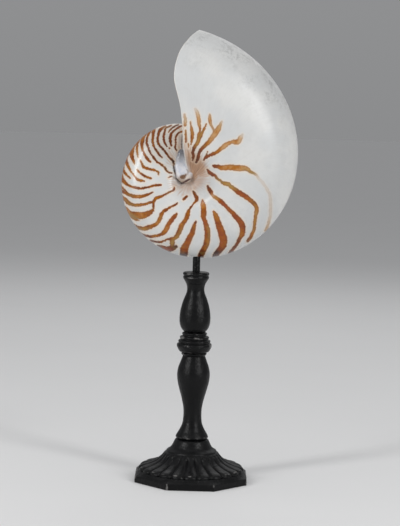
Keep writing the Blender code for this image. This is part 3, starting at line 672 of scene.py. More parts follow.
def wall_thickness(radius):
    return np.maximum(WALL_LEAST, WALL_AT_LIP * np.sqrt(radius / whorl_radius(LIP_ANGLE)))


def dorsal_layer(radius):
    """Nacre laid on the whorl within, for a whorl of this radius."""
    return DORSAL_LAYER * np.minimum(1.0, radius / THIN_LAYER_BELOW)


def shell_point(angle, radial, lateral):
    """Places of polar points, with the umbilicus leaning off the pole."""
    across = radial * np.cos(np.radians(angle))
    height = radial * np.sin(np.radians(angle))
    lean = np.clip(lateral / UMBILICUS_DEPTH, 0.0, 1.0) * np.exp(-(radial / UMBILICUS_REACH) ** 2)
    return np.stack(np.broadcast_arrays(
        POLE_X + across + UMBILICUS_SHIFT[0] * lean, CUT_Y - lateral,
        POLE_Z + height + UMBILICUS_SHIFT[1] * lean), axis=-1)


def outer_point(growth, share):
    radial, lateral, lead = section_curve(share)
    radius = whorl_radius(growth)
    return shell_point(growth + lead, radial * radius, lateral * radius)


def cavity_point(growth, share, rise):
    """Points inside the whorl, from the whorl within it (rise 0) to the outer wall (rise 1)."""
    radial, lateral, lead = section_curve(share)
    inward, sideways = section_normal(share)
    radius = whorl_radius(growth)
    inner = whorl_radius(growth - TURN)
    layer = dorsal_layer(radius)
    wall = wall_thickness(radius)
    low_radial = radial * inner - inward * layer
    low_lateral = lateral * inner - sideways * layer
    high_radial = radial * radius + inward * wall
    high_lateral = lateral * radius + sideways * wall
    return shell_point(growth + lead, low_radial + (high_radial - low_radial) * rise,
                       low_lateral + (high_lateral - low_lateral) * rise)


def septum_offset(share, rise):
    lead = section_curve(share)[2]
    bow = SEPTUM_BOW * 4 * rise * (1 - rise) * (1 - (share / CHAMBER_END) ** 2)
    return -SEPTUM_LEAD * lead - bow


def half_septum(angle):
    """Half a septum's thickness, in degrees of growth."""
    radius = whorl_radius(angle)
    thickness = np.maximum(SEPTUM_LEAST * np.minimum(1.0, radius / SEPTUM_THIN_BELOW),
                           SEPTUM_RATIO * radius)
    return np.degrees(thickness / 2 / (SEPTUM_MIDDLE * radius))


def chamber_bounds():
    """First and last growth angle of each gas chamber, largest first."""
    front = LAST_SEPTUM
    bounds = []
    while whorl_radius(front - SEPTUM_STEP) > SMALLEST_RADIUS:
        back = front - SEPTUM_STEP
        bounds.append((back + half_septum(back), front - half_septum(front)))
        front = back
    return bounds


# Picture

def camera_matrix():
    return (Matrix.Translation(CAMERA_PLACE)
            @ Matrix.Rotation(math.radians(90.0 - CAMERA_PITCH), 4, "X")
            @ Matrix.Rotation(math.radians(CAMERA_ROLL), 4, "Z"))


def picture_place(points):
    """Pixels across and down at which the camera sees some points."""
    inverse = np.array(camera_matrix().inverted())
    seen = points @ inverse[:3, :3].T + inverse[:3, 3]
    focal = PICTURE_HEIGHT / 2 / math.tan(math.radians(CAMERA_ANGLE / 2))
    across = PICTURE_WIDTH / 2 - seen[:, 0] / seen[:, 2] * focal
    down = PICTURE_HEIGHT / 2 + seen[:, 1] / seen[:, 2] * focal
    return np.stack((across, down), axis=-1)


def line_fields(place, lines):
    """How far each picture place is from the nearest line's edge, in pixels, and its tone."""
    edge = np.full(len(place), NO_LINE)
    tone = np.zeros(len(place))
    for knots in lines.values():
        line = smooth_line(knots, LINE_STEP)
        low = line[:, :2].min(axis=0) - NO_LINE
        high = line[:, :2].max(axis=0) + NO_LINE
        near = np.nonzero(np.all((place > low) & (place < high), axis=1))[0]
        for target in np.array_split(near, len(near) // LINE_BATCH + 1):
            if not len(target):
                continue
            gaps = np.hypot(place[target, None, 0] - line[None, :, 0],
                            place[target, None, 1] - line[None, :, 1]) - line[None, :, 2] / 2
            best = gaps.argmin(axis=1)
            gap = gaps[np.arange(len(target)), best]
            closer = gap < edge[target]
            edge[target[closer]] = gap[closer]
            tone[target[closer]] = line[best[closer], 3]
    return edge, tone


# Materials

class Value:
    """A node's output that takes part in sums."""

    def __init__(self, tree, socket):
        self.tree = tree
        self.socket = socket

    def math(self, operation, *terms, clamp=False):
        node = self.tree.nodes.new("ShaderNodeMath")
        node.operation = operation
        node.use_clamp = clamp
        for slot, term in zip(node.inputs, terms):
            plug(self.tree, slot, term)
        return Value(self.tree, node.outputs[0])

    def __add__(self, other):
        return self.math("ADD", self, other)

    def __radd__(self, other):
        return self.math("ADD", other, self)

    def __sub__(self, other):
        return self.math("SUBTRACT", self, other)

    def __rsub__(self, other):
        return self.math("SUBTRACT", other, self)

    def __mul__(self, other):
        return self.math("MULTIPLY", self, other)

    def __rmul__(self, other):
        return self.math("MULTIPLY", other, self)

    def __truediv__(self, other):
        return self.math("DIVIDE", self, other)

    def clamped(self):
        return self.math("ADD", self, 0.0, clamp=True)


def plug(tree, slot, term):
    if isinstance(term, Value):
        tree.links.new(term.socket, slot)
    elif slot.type == "RGBA":
        slot.default_value = (*term, 1.0)
    else:
        slot.default_value = term


class Nodes:
    """A node tree and the ways in which nodes are added to it."""

    def __init__(self, tree):
        self.tree = tree

    def node(self, kind, settings=None, inputs=None, output=0):
        node = self.tree.nodes.new("ShaderNode" + kind)
        for name, value in (settings or {}).items():
            if name == "stops":
                ramp = node.color_ramp
                while len(ramp.elements) < len(value):
                    ramp.elements.new(1.0)
                for element, (place, colour) in zip(ramp.elements, value):
                    element.position = place
                    element.color = (*colour, 1.0)
            else:
                setattr(node, name, value)
        for name, term in (inputs or {}).items():
            plug(self.tree, node.inputs[name], term)
        return Value(self.tree, node.outputs[output])

    def attribute(self, name):
        return self.node("Attribute", {"attribute_name": name}, output="Fac")

    def noise_at(self, where, scale, detail=3.0, roughness=0.5):
        return self.node("TexNoise", None, {"Vector": where, "Scale": scale, "Detail": detail,
                                            "Roughness": roughness})

    def noise(self, scale, detail=3.0, roughness=0.5, stretch=None):
        where = self.node("TexCoord", output="Object")
        if stretch:
            where = self.node("VectorMath", {"operation": "MULTIPLY"}, {0: where, 1: stretch})
        return self.noise_at(where, scale, detail, roughness)

    def plane_noise(self, across, along, detail, roughness=0.5):
        """Noise over two values, which are already scaled."""
        return self.noise_at(self.node("CombineXYZ", None, {"X": across, "Y": along}), 1.0,
                             detail, roughness)

    def mix(self, factor, first, second):
        return self.node("Mix", {"data_type": "RGBA"},
                         {MIX_FACTOR: factor, MIX_FIRST: first, MIX_SECOND: second}, MIX_COLOUR)

    def step(self, value, low, high):
        """0 below low and 1 above high, with a soft change between."""
        return self.node("MapRange", {"interpolation_type": "SMOOTHSTEP"},
                         {"Value": value, "From Min": low, "From Max": high})


class Finish(Nodes):
    """A material, its shader and the nodes that feed it."""

    def __init__(self, name, **settings):
        self.material = bpy.data.materials.new(name)
        self.material.use_nodes = True
        super().__init__(self.material.node_tree)
        self.shader = self.tree.nodes["Principled BSDF"]
        self.set(**settings)

    def set(self, **settings):
        for name, term in settings.items():
            plug(self.tree, self.shader.inputs[name.replace("_", " ")], term)

    def bump(self, height, strength, distance):
        self.set(Normal=self.node("Bump", None, {"Height": height, "Strength": strength,
                                                 "Distance": distance}))


def dark_marks(finish, colour):
    """Paint the dark lines over a colour: painted shadow of the recess and the lip, the slit and
    brown stains.
    """
    gap = finish.attribute("dark_edge") + (finish.noise(800.0, 2.0) - 0.5) * 1.4
    tone = finish.attribute("dark_tone")
    ink = finish.mix(finish.step(tone, 0.70, 0.85), STAIN_AND_SHADE_BROWN, SHADOW_AND_SLIT_BLACK)
    ink = finish.mix(finish.step(tone, 1.0, 1.15), ink, SLIT_MAROON)
    return finish.mix((1.0 - finish.step(gap, -0.9, 1.0)) * (tone * 1.5).clamped(), colour, ink)


def chalky_ground(finish, fleck, lines):
    """White shell with faint growth lines, mottled grey and greyed by painted shade near the keel.
    """
    cloud = finish.noise(38.0, 3.0)
    ground = finish.mix(finish.step(cloud, 0.35, 0.65), COOL_CHALK, WARM_CHALK)
    ground = finish.mix(finish.step(fleck, 0.45, 0.75) * 0.16, ground, FLECK_GREY)
    ground = finish.mix(finish.step(lines, 0.42, 0.72) * 0.20, ground, LINE_GREY)
    mottle = finish.attribute("mottle")
    speck = finish.step(finish.noise(340.0, 6.0, 0.75), 0.44, 0.62)
    bloom = mottle * (0.15 + finish.step(finish.noise(70.0, 4.0), 0.40, 0.66))
    ground = finish.mix((bloom * speck * 0.74).clamped(), ground, MOTTLE_DARK)
    # painted shade: greys all of the keel region
    return finish.mix(mottle * 0.52, ground, KEEL_SHADE_GREY)


def funnel_stain_and_shade(finish, ground):
    """Tan stain of the umbilicus, and painted shade by the lip, streaked and frayed away from its
    centre.
    """
    turn, reach = finish.attribute("funnel_turn"), finish.attribute("funnel_reach")
    edge, tone = finish.attribute("funnel_edge"), finish.attribute("funnel_tone")
    streak = finish.plane_noise(turn * 14.0, reach * 0.05, 4.0, 0.65)
    ray = finish.plane_noise(turn * 34.0, reach * 0.08, 2.0)
    stain = finish.mix(finish.step(streak, 0.36, 0.66), FUNNEL_BROWN, FUNNEL_TAN)
    funnel = 1.0 - finish.step(edge + (streak - 0.5) * 5.0, -4.0, 3.2)
    ground = finish.mix((funnel * tone).clamped(), ground, stain)
    rays = 1.0 - finish.step(edge + (streak - 0.5) * 8.0, 0.5, 7.5)
    return finish.mix(finish.step(ray, 0.50, 0.62) * rays * 0.75, ground, RAY_BROWN)


def stripe_colour(finish, tone, fleck, fibre):
    """Tan to dark brown by tone, olive and rusty red in patches."""
    blotch = finish.noise(170.0, 3.0, 0.6)
    shade = tone / TONE_RANGE + (blotch - 0.5) * 0.7 + (fibre - 0.5) * 0.35
    stripe = finish.node("ValToRGB", {"stops": STRIPE_TONES}, {"Fac": shade})
    stray_olive = finish.step(finish.noise(95.0, 3.0), 0.54, 0.66)
    olive = finish.attribute("olive") * 0.75 + stray_olive * 0.28
    stripe = finish.mix((olive * (0.5 + fleck)).clamped(), stripe, STRIPE_OLIVE)
    stray_ruddy = finish.step(finish.noise(120.0, 3.0, 0.6), 0.52, 0.64)
    ruddy = finish.attribute("ruddy") * 0.62 + stray_ruddy * 0.25
    return finish.mix((ruddy * (0.5 + fleck)).clamped(), stripe, STRIPE_RUDDY)


def shell_finish():
    finish = Finish("striped_shell", Specular_IOR_Level=0.36)
    growth, share = finish.attribute("growth"), finish.attribute("share")
    fleck = finish.noise(260.0, 4.0)
    saw = finish.noise(520.0, 3.0, 0.6)
    lines = finish.plane_noise(growth * 1.4, share * 5.0, 5.0, 0.65)
    teeth = finish.plane_noise(growth * 0.14, share * 62.0, 4.0, 0.65)
    fibre = finish.plane_noise(growth * 0.30, share * 24.0, 4.0, 0.6)
    ground = funnel_stain_and_shade(finish, chalky_ground(finish, fleck, lines))
    tone = finish.attribute("stripe_tone")
    stripe = stripe_colour(finish, tone, fleck, fibre)
    ragged = finish.attribute("stripe_edge") + (saw - 0.5) * 1.6 + (teeth - 0.5) * 2.2
    margin = finish.step(ragged, -1.4, 0.2)
    stripe = finish.mix(margin * 0.42, stripe, STRIPE_MARGIN)
    inside = 1.0 - finish.step(ragged, -0.2, 0.75)
    fringe = 1.0 - finish.step(ragged, 0.2, 2.6)
    strength = finish.step(tone, 0.0, 0.5)
    colour = finish.mix(fringe * strength * 0.6, ground, STRIPE_FRINGE)
    colour = finish.mix(inside * strength, colour, stripe)
    late = finish.step(growth, 250.0, 360.0)
    finish.set(Base_Color=dark_marks(finish, colour),
               Roughness=0.11 + late * 0.10 + fleck * 0.07 + fibre * 0.15)
    finish.bump(lines * 0.8 + fleck * 0.2 + fibre * 0.8, 0.26, 0.0003)
    return finish.material


def nacre_finish(name, colour, warm):
    """Mother-of-pearl whose tint drifts between green and pink."""
    finish = Finish(name, Coat_Weight=0.35, Coat_Roughness=0.10)
    cloud = finish.noise(42.0, 3.0)
    sheen = finish.noise(24.0, 2.0)
    fine = finish.noise(420.0, 2.0)
    grown = finish.noise(60.0, 4.0, 0.6, (1.0, 0.15, 0.6))
    tint = finish.mix(finish.step(cloud, 0.3, 0.7), colour, warm)
    tint = finish.mix(finish.step(sheen, 0.50, 0.66) * 0.42, tint, SHEEN_GREEN)
    tint = finish.mix((1.0 - finish.step(sheen, 0.34, 0.48)) * 0.42, tint, SHEEN_PINK)
    tint = finish.mix(finish.step(grown, 0.50, 0.62) * 0.35, tint, NACRE_BAND)
    tint = finish.mix(finish.step(fine, 0.5, 0.8) * 0.2, tint, NACRE_GRAIN)
    finish.set(Base_Color=tint, Roughness=0.16 + fine * 0.14)
    finish.bump(fine + cloud, 0.14, 0.0003)
    return finish.material


def pearl_finish():
    """Lavender white, creamy at the foot, and darkened to slate blue towards the top as painted
    shade.
    """
    finish = Finish("pearl", Coat_Weight=0.45, Coat_Roughness=0.08, Specular_IOR_Level=0.4)
    cloud = finish.noise(260.0, 3.0)
    fine = finish.noise(900.0, 3.0)
    height = finish.attribute("height")
    colour = finish.mix(finish.step(cloud, 0.35, 0.65), PEARL_BLUE, PEARL_WHITE)
    colour = finish.mix(finish.step(height, 0.36, 0.04), colour, PEARL_CREAM)
    # painted shade toward the callus's top
    colour = finish.mix(finish.step(height, 0.45, 0.95), colour, PEARL_TOP_SHADE)
    finish.set(Base_Color=dark_marks(finish, colour), Roughness=0.2 + fine * 0.16)
    finish.bump(fine + cloud, 0.2, 0.0003)
    return finish.material


def cut_finish():
    """Chalky white outside, thin dark parting and nacre within, across the cut wall."""
    finish = Finish("cut_layers", Specular_IOR_Level=0.4)
    depth = finish.attribute("depth")
    grain = finish.noise(700.0, 4.0)
    cloud = finish.noise(90.0, 3.0)
    nacre = finish.mix(finish.step(cloud, 0.35, 0.65), *CUT_NACRE)
    outer = finish.step(depth + (grain - 0.5) * 0.12, 0.56, 0.68)
    colour = finish.mix(outer, nacre, CUT_CHALK)
    parting = finish.step(depth, 0.50, 0.58) * (1.0 - finish.step(depth, 0.62, 0.70))
    colour = finish.mix(parting * 0.5, colour, CUT_PARTING)
    finish.set(Base_Color=colour, Roughness=0.34 + outer * 0.26 + grain * 0.1)
    finish.bump(grain, 0.15, 0.0002)
    return finish.material


def black_finish(name, roughness, grain, shine):
    """Black lacquer, uneven and scuffed, bare metal along its ridges: partly wear, partly painted
    highlight.
    """
    finish = Finish(name, Specular_IOR_Level=shine)
    fine = finish.noise(grain, 4.0)
    broad = finish.noise(60.0, 3.0)
    lumps = finish.noise(240.0, 3.0)
    worn = finish.step(finish.noise(620.0, 6.0, 0.7), 0.60, 0.72)
    patchy = 0.34 + 1.3 * finish.noise(170.0, 4.0)
    rubbed_and_lit = finish.step(finish.attribute("ridge") * patchy, 0.84, 1.02)
    colour = finish.mix(broad, *LACQUER_BLACK)
    colour = finish.mix(worn * 0.3, colour, LACQUER_SCUFF)
    colour = finish.mix(rubbed_and_lit * 0.8, colour, BARE_METAL_AND_HIGHLIGHT)
    finish.set(Base_Color=colour,
               Roughness=roughness + (broad + lumps - 1.0) * 0.24 + fine * 0.14)
    finish.bump(fine * 0.5 + lumps, 0.55, 0.0008)
    return finish.material


# Shell

def build_outside(material):
    grow, part = np.meshgrid(np.linspace(FIRST_ANGLE, LIP_ANGLE, OUTSIDE_ROWS),
                             np.linspace(0.0, 1.0, OUTSIDE_COLUMNS), indexing="ij")
    points = outer_point(grow, part)
    middle = points[:, -1].mean(axis=0)
    faces = grid_faces(OUTSIDE_ROWS, OUTSIDE_COLUMNS)
    last = range(OUTSIDE_COLUMNS - 1, grow.size, OUTSIDE_COLUMNS)
    faces += [(first, second, grow.size) for first, second in zip(last, last[1:])]
    points = np.vstack((points.reshape(-1, 3), middle))
    item = add_object("shell_outside", points, faces, material)
    place = picture_place(points)
    grow = np.append(grow.ravel(), FIRST_ANGLE)
    part = np.append(part.ravel(), 1.0)
    paint_stripes(item, place, grow)
    paint_funnel(item, place)
    dark_edge, dark_tone = line_fields(place, DARK_LINES)
    store(item, "dark_edge", np.where(grow < EARLY_END, dark_edge, NO_LINE))
    store(item, "dark_tone", dark_tone)
    store(item, "growth", grow)
    store(item, "share", part)
    store(item, "mottle", np.clip((grow - MOTTLE_START) / MOTTLE_GROWTH, 0, 1)
          * np.clip(MOTTLE_CORE - part / MOTTLE_WIDTH, 0, 1))
    return item


def paint_stripes(item, place, grow):
    """Store where the stripes run, and where they turn olive or rusty red."""
    early = {name: STRIPES[name] for name in EARLY_STRIPES}
    late = {name: line for name, line in STRIPES.items() if name not in EARLY_STRIPES}
    edge, tone = line_fields(place, early)
    late_edge, late_tone = line_fields(place, late)
    edge = np.where(grow < EARLY_END, edge, NO_LINE)
    late_edge = np.where(grow > LATE_START, late_edge, NO_LINE)
    store(item, "stripe_edge", np.minimum(edge, late_edge))
    store(item, "stripe_tone", np.where(edge < late_edge, tone, late_tone))
    for name, lines in (("olive", OLIVE_PLACES), ("ruddy", RUDDY_PLACES)):
        gap, amount = line_fields(place, lines)
        store(item, name, amount * np.clip(0.5 - gap / PATCH_SOFTNESS, 0.0, 1.0))


def paint_funnel(item, place):
    """Store the stained funnel with its painted shade, and each place's turn and reach round its
    centre.
    """
    store_lines(item, place, "funnel", FUNNEL)
    across, down = (place - FUNNEL_CENTRE).T
    store(item, "funnel_turn", np.arctan2(-down, across - 0.001))
    store(item, "funnel_reach", np.hypot(across, down))


def store_lines(item, place, name, lines):
    edge, tone = line_fields(place, lines)
    store(item, name + "_edge", edge)
    store(item, name + "_tone", tone)


def build_lip(material):
    """The rounded edge of the wall at the opening, and the step down to the whorl within."""
    patches = Patchwork()
    share = np.linspace(0.0, CHAMBER_END, LIP_GRID[1])
    outer = outer_point(LIP_ANGLE, share)
    inner = cavity_point(LIP_ANGLE, share, 1.0)
    ahead = outer_point(LIP_ANGLE + LIP_AHEAD, share) - outer
    patches.grid(np.stack([
        outer + (inner - outer) * (1 - math.cos(turn)) / 2 + ahead * math.sin(turn) * LIP_BULGE
        for turn in np.linspace(0.0, math.pi, LIP_GRID[0])]))
    share = np.linspace(CHAMBER_END, 1.0, STEP_GRID[1])
    top = outer_point(LIP_ANGLE, share)
    bottom = outer_point(FIRST_ANGLE, share)
    fall = np.linspace(0.0, 1.0, STEP_GRID[0])
    patches.grid(np.stack([top + (bottom - top) * drop for drop in fall]))
    edge = top[0] + (bottom[0] - top[0]) * fall[:, None]
    wall = cavity_point(LIP_ANGLE, np.full_like(fall, CHAMBER_END), 1.0 - fall)
    patches.grid(np.stack((edge, wall)))
    return patches.build("shell_lip", material)


def line_chamber(patches, place, sizes, closed):
    """Line a chamber's floor, outer wall, side and back, and its front too where it's closed."""
    steps, shares, rises = (np.linspace(0.0, end, count)
                            for end, count in zip((1.0, CHAMBER_END, 1.0), sizes))
    step, share = np.meshgrid(steps, shares, indexing="ij")
    patches.grid(place(step, share, np.zeros_like(share)))
    patches.grid(place(step, share, np.ones_like(share)), flip=True)
    step, rise = np.meshgrid(steps, rises, indexing="ij")
    patches.grid(place(step, np.full_like(rise, CHAMBER_END), rise))
    share, rise = np.meshgrid(shares, rises, indexing="ij")
    patches.grid(place(np.zeros_like(rise), share, rise))
    if closed:
        patches.grid(place(np.ones_like(rise), share, rise), flip=True)


def build_room(material):
    """The lining of the open body chamber."""
    patches = Patchwork()
    start = LAST_SEPTUM + half_septum(LAST_SEPTUM)

    def place(step, share, rise):
        back = start + septum_offset(share, rise)
        return cavity_point(back + (LIP_ANGLE - back) * step, share, rise)

    line_chamber(patches, place, ROOM_GRID, False)
    return patches.build("body_chamber_lining", material)


def build_chambers(material):
    patches = Patchwork()
    for first, last in chamber_bounds():

        def place(step, share, rise):
            return cavity_point(first + (last - first) * step + septum_offset(share, rise),
                                share, rise)

        line_chamber(patches, place, CHAMBER_GRID, True)
    return patches.build("gas_chambers", material)


def build_cut_face(material):
    """The flat cut through the walls and septa."""
    patches = Patchwork()
    bounds = chamber_bounds()
    start = bounds[-1][0] - TURN
    layers, steps = CUT_GRID
    growth = np.linspace(start, LIP_ANGLE, steps)
    zero = np.zeros_like(growth)
    inner = cavity_point(growth, zero, 1.0)
    layer = dorsal_layer(whorl_radius(growth + TURN))
    covered = growth < FIRST_ANGLE
    outer = shell_point(growth, whorl_radius(growth) + np.where(covered, layer, 0.0), zero)
    depths = np.linspace(0.0, 1.0, layers)
    patches.grid(np.stack([inner + (outer - inner) * depth for depth in depths]))
    rises = np.linspace(0.0, 1.0, CUT_SEPTUM_GRID[1])
    zeros = np.zeros_like(rises)
    offset = septum_offset(zeros, rises)
    gaps = [(LAST_SEPTUM - half_septum(LAST_SEPTUM), LAST_SEPTUM + half_septum(LAST_SEPTUM))]
    gaps += [(following[1], chamber[0]) for chamber, following in zip(bounds, bounds[1:])]
    for low, high in gaps:
        patches.grid(np.stack([cavity_point(low + (high - low) * share + offset, zeros, rises)
                               for share in np.linspace(0.0, 1.0, CUT_SEPTUM_GRID[0])]))
    core = cavity_point(np.linspace(start, bounds[-1][0], CORE_STEPS), np.zeros(CORE_STEPS), 0.0)
    middle = np.broadcast_to(np.array((POLE_X, CUT_Y, POLE_Z)), core.shape)
    patches.grid(np.stack((middle, core)))
    item = patches.build("cut_face", material, smooth=False)
    store(item, "depth", patches.padded(np.repeat(depths, steps)))
    return item


def build_siphuncle(material):
    """Half of the tube's neck behind each septum, cut open with the shell."""
    patches = Patchwork()
    septa = [LAST_SEPTUM] + [first - half_septum(first) for first, last in chamber_bounds()]
    turns = np.linspace(0.0, math.pi, SIPHUNCLE_GRID[0])
    steps = np.linspace(0.0, 1.0, SIPHUNCLE_GRID[1])
    middle = np.full_like(steps, SIPHUNCLE_RISE)
    zeros = np.zeros_like(steps)
    flare = 1.0 + SIPHUNCLE_FLARE * np.exp(-SIPHUNCLE_FLARE_FALL * steps)
    for angle in septa[:-1]:
        growth = angle + septum_offset(zeros, middle) - steps * SIPHUNCLE_REACH * SEPTUM_STEP
        centre = cavity_point(growth, zeros, middle)
        outward = centre - np.array((POLE_X, CUT_Y, POLE_Z))
        outward /= np.linalg.norm(outward, axis=1, keepdims=True)
        radius = SIPHUNCLE_RADIUS * whorl_radius(angle) * flare
        outside, inside = (np.stack([
            centre + (radius * share)[:, None]
            * (outward * math.cos(turn) + np.array((0.0, -math.sin(turn), 0.0)))
            for turn in turns]) for share in (1.0, SIPHUNCLE_BORE))
        patches.grid(outside)
        patches.grid(inside, flip=True)
        for end in (0, -1):
            patches.grid(np.stack((outside[end], inside[end])))
        for end in (0, -1):
            patches.grid(np.stack((outside[:, end], inside[:, end])))
    return patches.build("siphuncle_necks", material)


def build_callus(material):
    """The pearly plug behind the lip, narrow above and full below."""
    bm = bmesh.new()
    bmesh.ops.create_icosphere(bm, subdivisions=6, radius=1.0)
    mesh = bpy.data.meshes.new("umbilical_callus")
    bm.to_mesh(mesh)
    bm.free()
    unit = np.array([vertex.co for vertex in mesh.vertices])
    taper = 1.0 - CALLUS_TAPER * np.clip(unit[:, 2] + 0.3, 0.0, 2.0)
    waves = np.sin(unit[:, 0] * 7 + unit[:, 2] * 5) * np.cos(unit[:, 2] * 6 + 1)
    swell = 1.0 + CALLUS_SWELL * waves
    full = np.sign(unit[:, 1]) * np.sqrt(np.abs(unit[:, 1]))
    points = np.stack((unit[:, 0] * taper * swell, full * swell, unit[:, 2]), axis=-1)
    lean = np.array(Matrix.Rotation(math.radians(-CALLUS_LEAN), 3, "Y"))
    points = (points * CALLUS_SIZE) @ lean.T + CALLUS_CENTRE
    below = np.clip(CALLUS_CENTRE[2] - points[:, 2], 0.0, CALLUS_SEAT_REACH)
    points[:, 1] = np.minimum(points[:, 1], CALLUS_SEAT + CALLUS_SEAT_SLOPE * below)
    mesh.vertices.foreach_set("co", points.ravel())
    mesh.materials.append(material)
    mesh.shade_smooth()
    item = bpy.data.objects.new("umbilical_callus", mesh)
    bpy.context.scene.collection.objects.link(item)
    store_lines(item, picture_place(points), "dark", DARK_LINES)
    store(item, "height", (unit[:, 2] + 1.0) / 2.0)
    return item


# Stand

def turned_points(profile, columns, detail):
    outline = smooth_line(profile, detail)[:, :2] * MM
    angle = np.linspace(0.0, 2 * math.pi, columns + 1)
    radius, turn = np.meshgrid(outline[:, 0], angle, indexing="ij")
    height = np.broadcast_to(outline[:, 1][:, None], radius.shape)
    return np.stack((radius * np.cos(turn), radius * np.sin(turn), height), axis=-1)


def build_turned(name, profile, bore, material):
    """A turned piece with a bore; painted highlight and wear on its ridges, painted highlight on
    its top.
    """
    patches = Patchwork()
    points = turned_points(profile, TURNED_STEPS, PROFILE_STEP)
    patches.grid(points)
    for row, flip in ((points[:1], False), (points[-1:], True)):
        inside = row * (bore / np.hypot(row[..., 0], row[..., 1]))[..., None]
        inside[..., 2] = row[..., 2]
        patches.grid(np.concatenate((row, inside)), flip)
    item = patches.build(name, material)
    radius = np.hypot(points[:, 0, 0], points[:, 0, 1]) / MM
    span = 2 * RIDGE_SPAN + 1
    around = np.convolve(np.pad(radius, RIDGE_SPAN, "edge"), np.full(span, 1 / span), "valid")
    ridge = np.clip((radius - around) / RIDGE_FULL, 0.0, 1.0) * RIDGE_WEAR_AND_HIGHLIGHT
    # painted highlight on the top face, from its rim to the bore
    rows = np.append(ridge, (TOP_PAINTED_HIGHLIGHT, BORE_PAINTED_HIGHLIGHT, 0.0, 0.0))
    store(item, "ridge", np.repeat(rows, points.shape[1]))
    return item


def build_base(material):
    """The dome and the petals below it, each rounded and parted by a groove."""
    points = turned_points(BASE_PROFILE, PETALS * PETAL_STEPS, BASE_STEP)
    radius = np.hypot(points[..., 0], points[..., 1])
    angle = np.arctan2(points[..., 1], points[..., 0])
    weight = np.clip((PETAL_TOP - points[..., 2] / MM) / (PETAL_TOP - PETAL_FULL), 0.0, 1.0)
    turn = (angle + math.pi / 2) * PETALS / (2 * math.pi)
    share = np.abs(turn - np.round(turn)) * 2
    groove = 1.0 - np.sqrt(np.clip(1.0 - share ** PETAL_ROUNDNESS, 0.0, 1.0))
    rim = np.clip((radius - PETAL_RIM_START) / PETAL_RIM_WIDTH, 0.0, 1.0)
    inward = weight * groove * (PETAL_GROOVE * (1.0 - 0.5 * rim) + PETAL_SCALLOP * rim)
    scale = 1.0 - inward / radius
    points = points * np.stack((scale, scale, np.ones_like(scale)), axis=-1)
    above = points[..., 2] > PLINTH_HEIGHT + 0.3 * MM
    points[..., 2] -= np.where(above, weight * groove * PETAL_GROOVE * PETAL_SINK, 0.0)
    patches = Patchwork()
    patches.grid(points)
    row = points[:1]
    patches.grid(np.concatenate((row * np.array((DOME_HOLE, DOME_HOLE, 1.0)), row)))
    base = patches.build("carved_base", material)
    low = np.clip((PETAL_WEAR_TOP - points[..., 2] / MM) / PETAL_WEAR_FADE, 0.0, 1.0)
    foot = np.exp(-((radius / MM - FOOT_RADIUS) / FOOT_WIDTH) ** 2)
    ridge = (PETAL_WEAR + FOOT_WEAR * foot) * (low * (1.0 - groove))
    store(base, "ridge", patches.padded(ridge.ravel()))
    return base


def build_plinth(material):
    """The eight-sided foot, whose top edge rounds over into a ring under the petals."""
    corner = math.tan(math.pi / PLINTH_SIDES)
    rows, wear = [], []
    for apothem, height, round_share, edge in PLINTH_OUTLINE:
        row = []
        exposed = height < CORNER_WEAR_TOP and apothem > CORNER_WEAR_INNER
        for side in range(PLINTH_SIDES):
            turn = side * 2 * math.pi / PLINTH_SIDES
            for slide in PLINTH_SLIDES:
                place = Vector((1.0, corner * slide))
                radius = apothem * (1.0 + (place.length - 1.0) * (1.0 - round_share))
                spot = place.normalized() * radius * MM
                row.append((spot.x * math.cos(turn) - spot.y * math.sin(turn),
                            spot.x * math.sin(turn) + spot.y * math.cos(turn), height * MM))
                near = 0.0
                if exposed and abs(slide) > CORNER_WEAR_START:
                    near = CORNER_WEAR[0] if slide == PLINTH_SLIDES[0] else CORNER_WEAR[1]
                wear.append(max(edge * EDGE_WEAR, near))
        rows.append(row + row[:1])
        wear.append(wear[-len(row)])
    patches = Patchwork()
    patches.grid(np.array(rows))
    plinth = patches.build("plinth", material, smooth=False)
    store(plinth, "ridge", wear)
    return plinth


# Room

def build_floor():
    finish = Finish("pale_floor", Roughness=0.9)
    finish.set(Base_Color=finish.mix(finish.noise(6.0, 2.0), *FLOOR_PALE))
    bpy.ops.mesh.primitive_plane_add(size=FLOOR_SIZE)
    floor = bpy.context.object
    floor.name = "floor"
    floor.data.materials.append(finish.material)


def soft_box(name, azimuth, elevation, size, power):
    """A light that faces the object from a side of the camera's direction, in degrees."""
    data = bpy.data.lights.new(name, "AREA")
    data.shape = "RECTANGLE"
    data.size, data.size_y = size
    data.energy = power
    light = bpy.data.objects.new(name, data)
    turn, rise = math.radians(azimuth), math.radians(elevation)
    away = Vector((math.sin(turn) * math.cos(rise), -math.cos(turn) * math.cos(rise),
                   math.sin(rise)))
    light.location = Vector(LIGHT_TARGET) + away * LIGHT_DISTANCE
    light.rotation_euler = away.to_track_quat("Z", "Y").to_euler()
    bpy.context.scene.collection.objects.link(light)


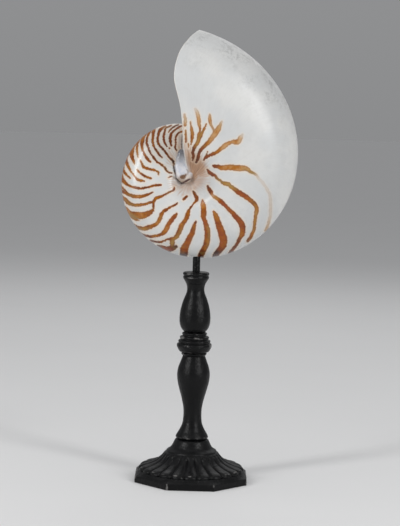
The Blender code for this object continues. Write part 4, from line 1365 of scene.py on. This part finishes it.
def build_world():
    """Even light from all round, a little stronger overhead than at the horizon."""
    world = bpy.data.worlds.new("studio")
    bpy.context.scene.world = world
    world.use_nodes = True
    nodes = Nodes(world.node_tree)
    sight = nodes.node("TexCoord", output="Generated")
    upward = nodes.node("SeparateXYZ", None, {"Vector": sight}, "Z")
    strength = nodes.node("MapRange", None, {"Value": upward, "From Max": SKY_HEIGHT,
                                             "To Min": HORIZON_STRENGTH,
                                             "To Max": SKY_STRENGTH})
    sky = nodes.tree.nodes["Background"]
    plug(nodes.tree, sky.inputs["Color"], SKY_COLOUR)
    plug(nodes.tree, sky.inputs["Strength"], strength)


def build_camera():
    data = bpy.data.cameras.new("picture_camera")
    data.sensor_fit = "VERTICAL"
    data.angle = math.radians(CAMERA_ANGLE)
    camera = bpy.data.objects.new("picture_camera", data)
    camera.matrix_world = camera_matrix()
    bpy.context.scene.collection.objects.link(camera)
    bpy.context.scene.camera = camera


def dress(piece, node):
    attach(piece, "root")
    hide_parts(node)


def main():
    build_camera()
    striped = shell_finish()
    cream = nacre_finish("cream_nacre", *NACRE_CREAM)
    necks = nacre_finish("siphuncle_tan", *SIPHUNCLE_TAN)
    for piece in (build_outside(striped), build_lip(cream), build_room(cream),
                  build_chambers(cream), build_cut_face(cut_finish()),
                  build_callus(pearl_finish()), build_siphuncle(necks)):
        dress(piece, "shell_half")
    black = black_finish("black_lacquer", 0.31, 700.0, 0.20)
    for piece in (build_base(black), build_plinth(black)):
        dress(piece, "base")
    for name, node, profile in (("lower_turning", "lower_baluster", LOWER_PROFILE),
                                ("ringed_knop", "knop", KNOP_PROFILE),
                                ("upper_turning", "upper_baluster", UPPER_PROFILE),
                                ("socket_cap", "cap", CAP_PROFILE)):
        dress(build_turned(name, profile, BORE, black), node)
    rod_profile = [(ROD_RADIUS / MM, ROD_TOP / MM), (ROD_RADIUS / MM, ROD_BOTTOM / MM)]
    rod_black = black_finish("rod_black", 0.22, 900.0, 0.22)
    rod = build_turned("support_rod", rod_profile, ROD_CENTRE_HOLE, rod_black)
    dress(rod, "rod")
    build_floor()
    for light in LIGHTS:
        soft_box(*light)
    build_world()
    bpy.context.scene.view_settings.view_transform = "Standard"


main()
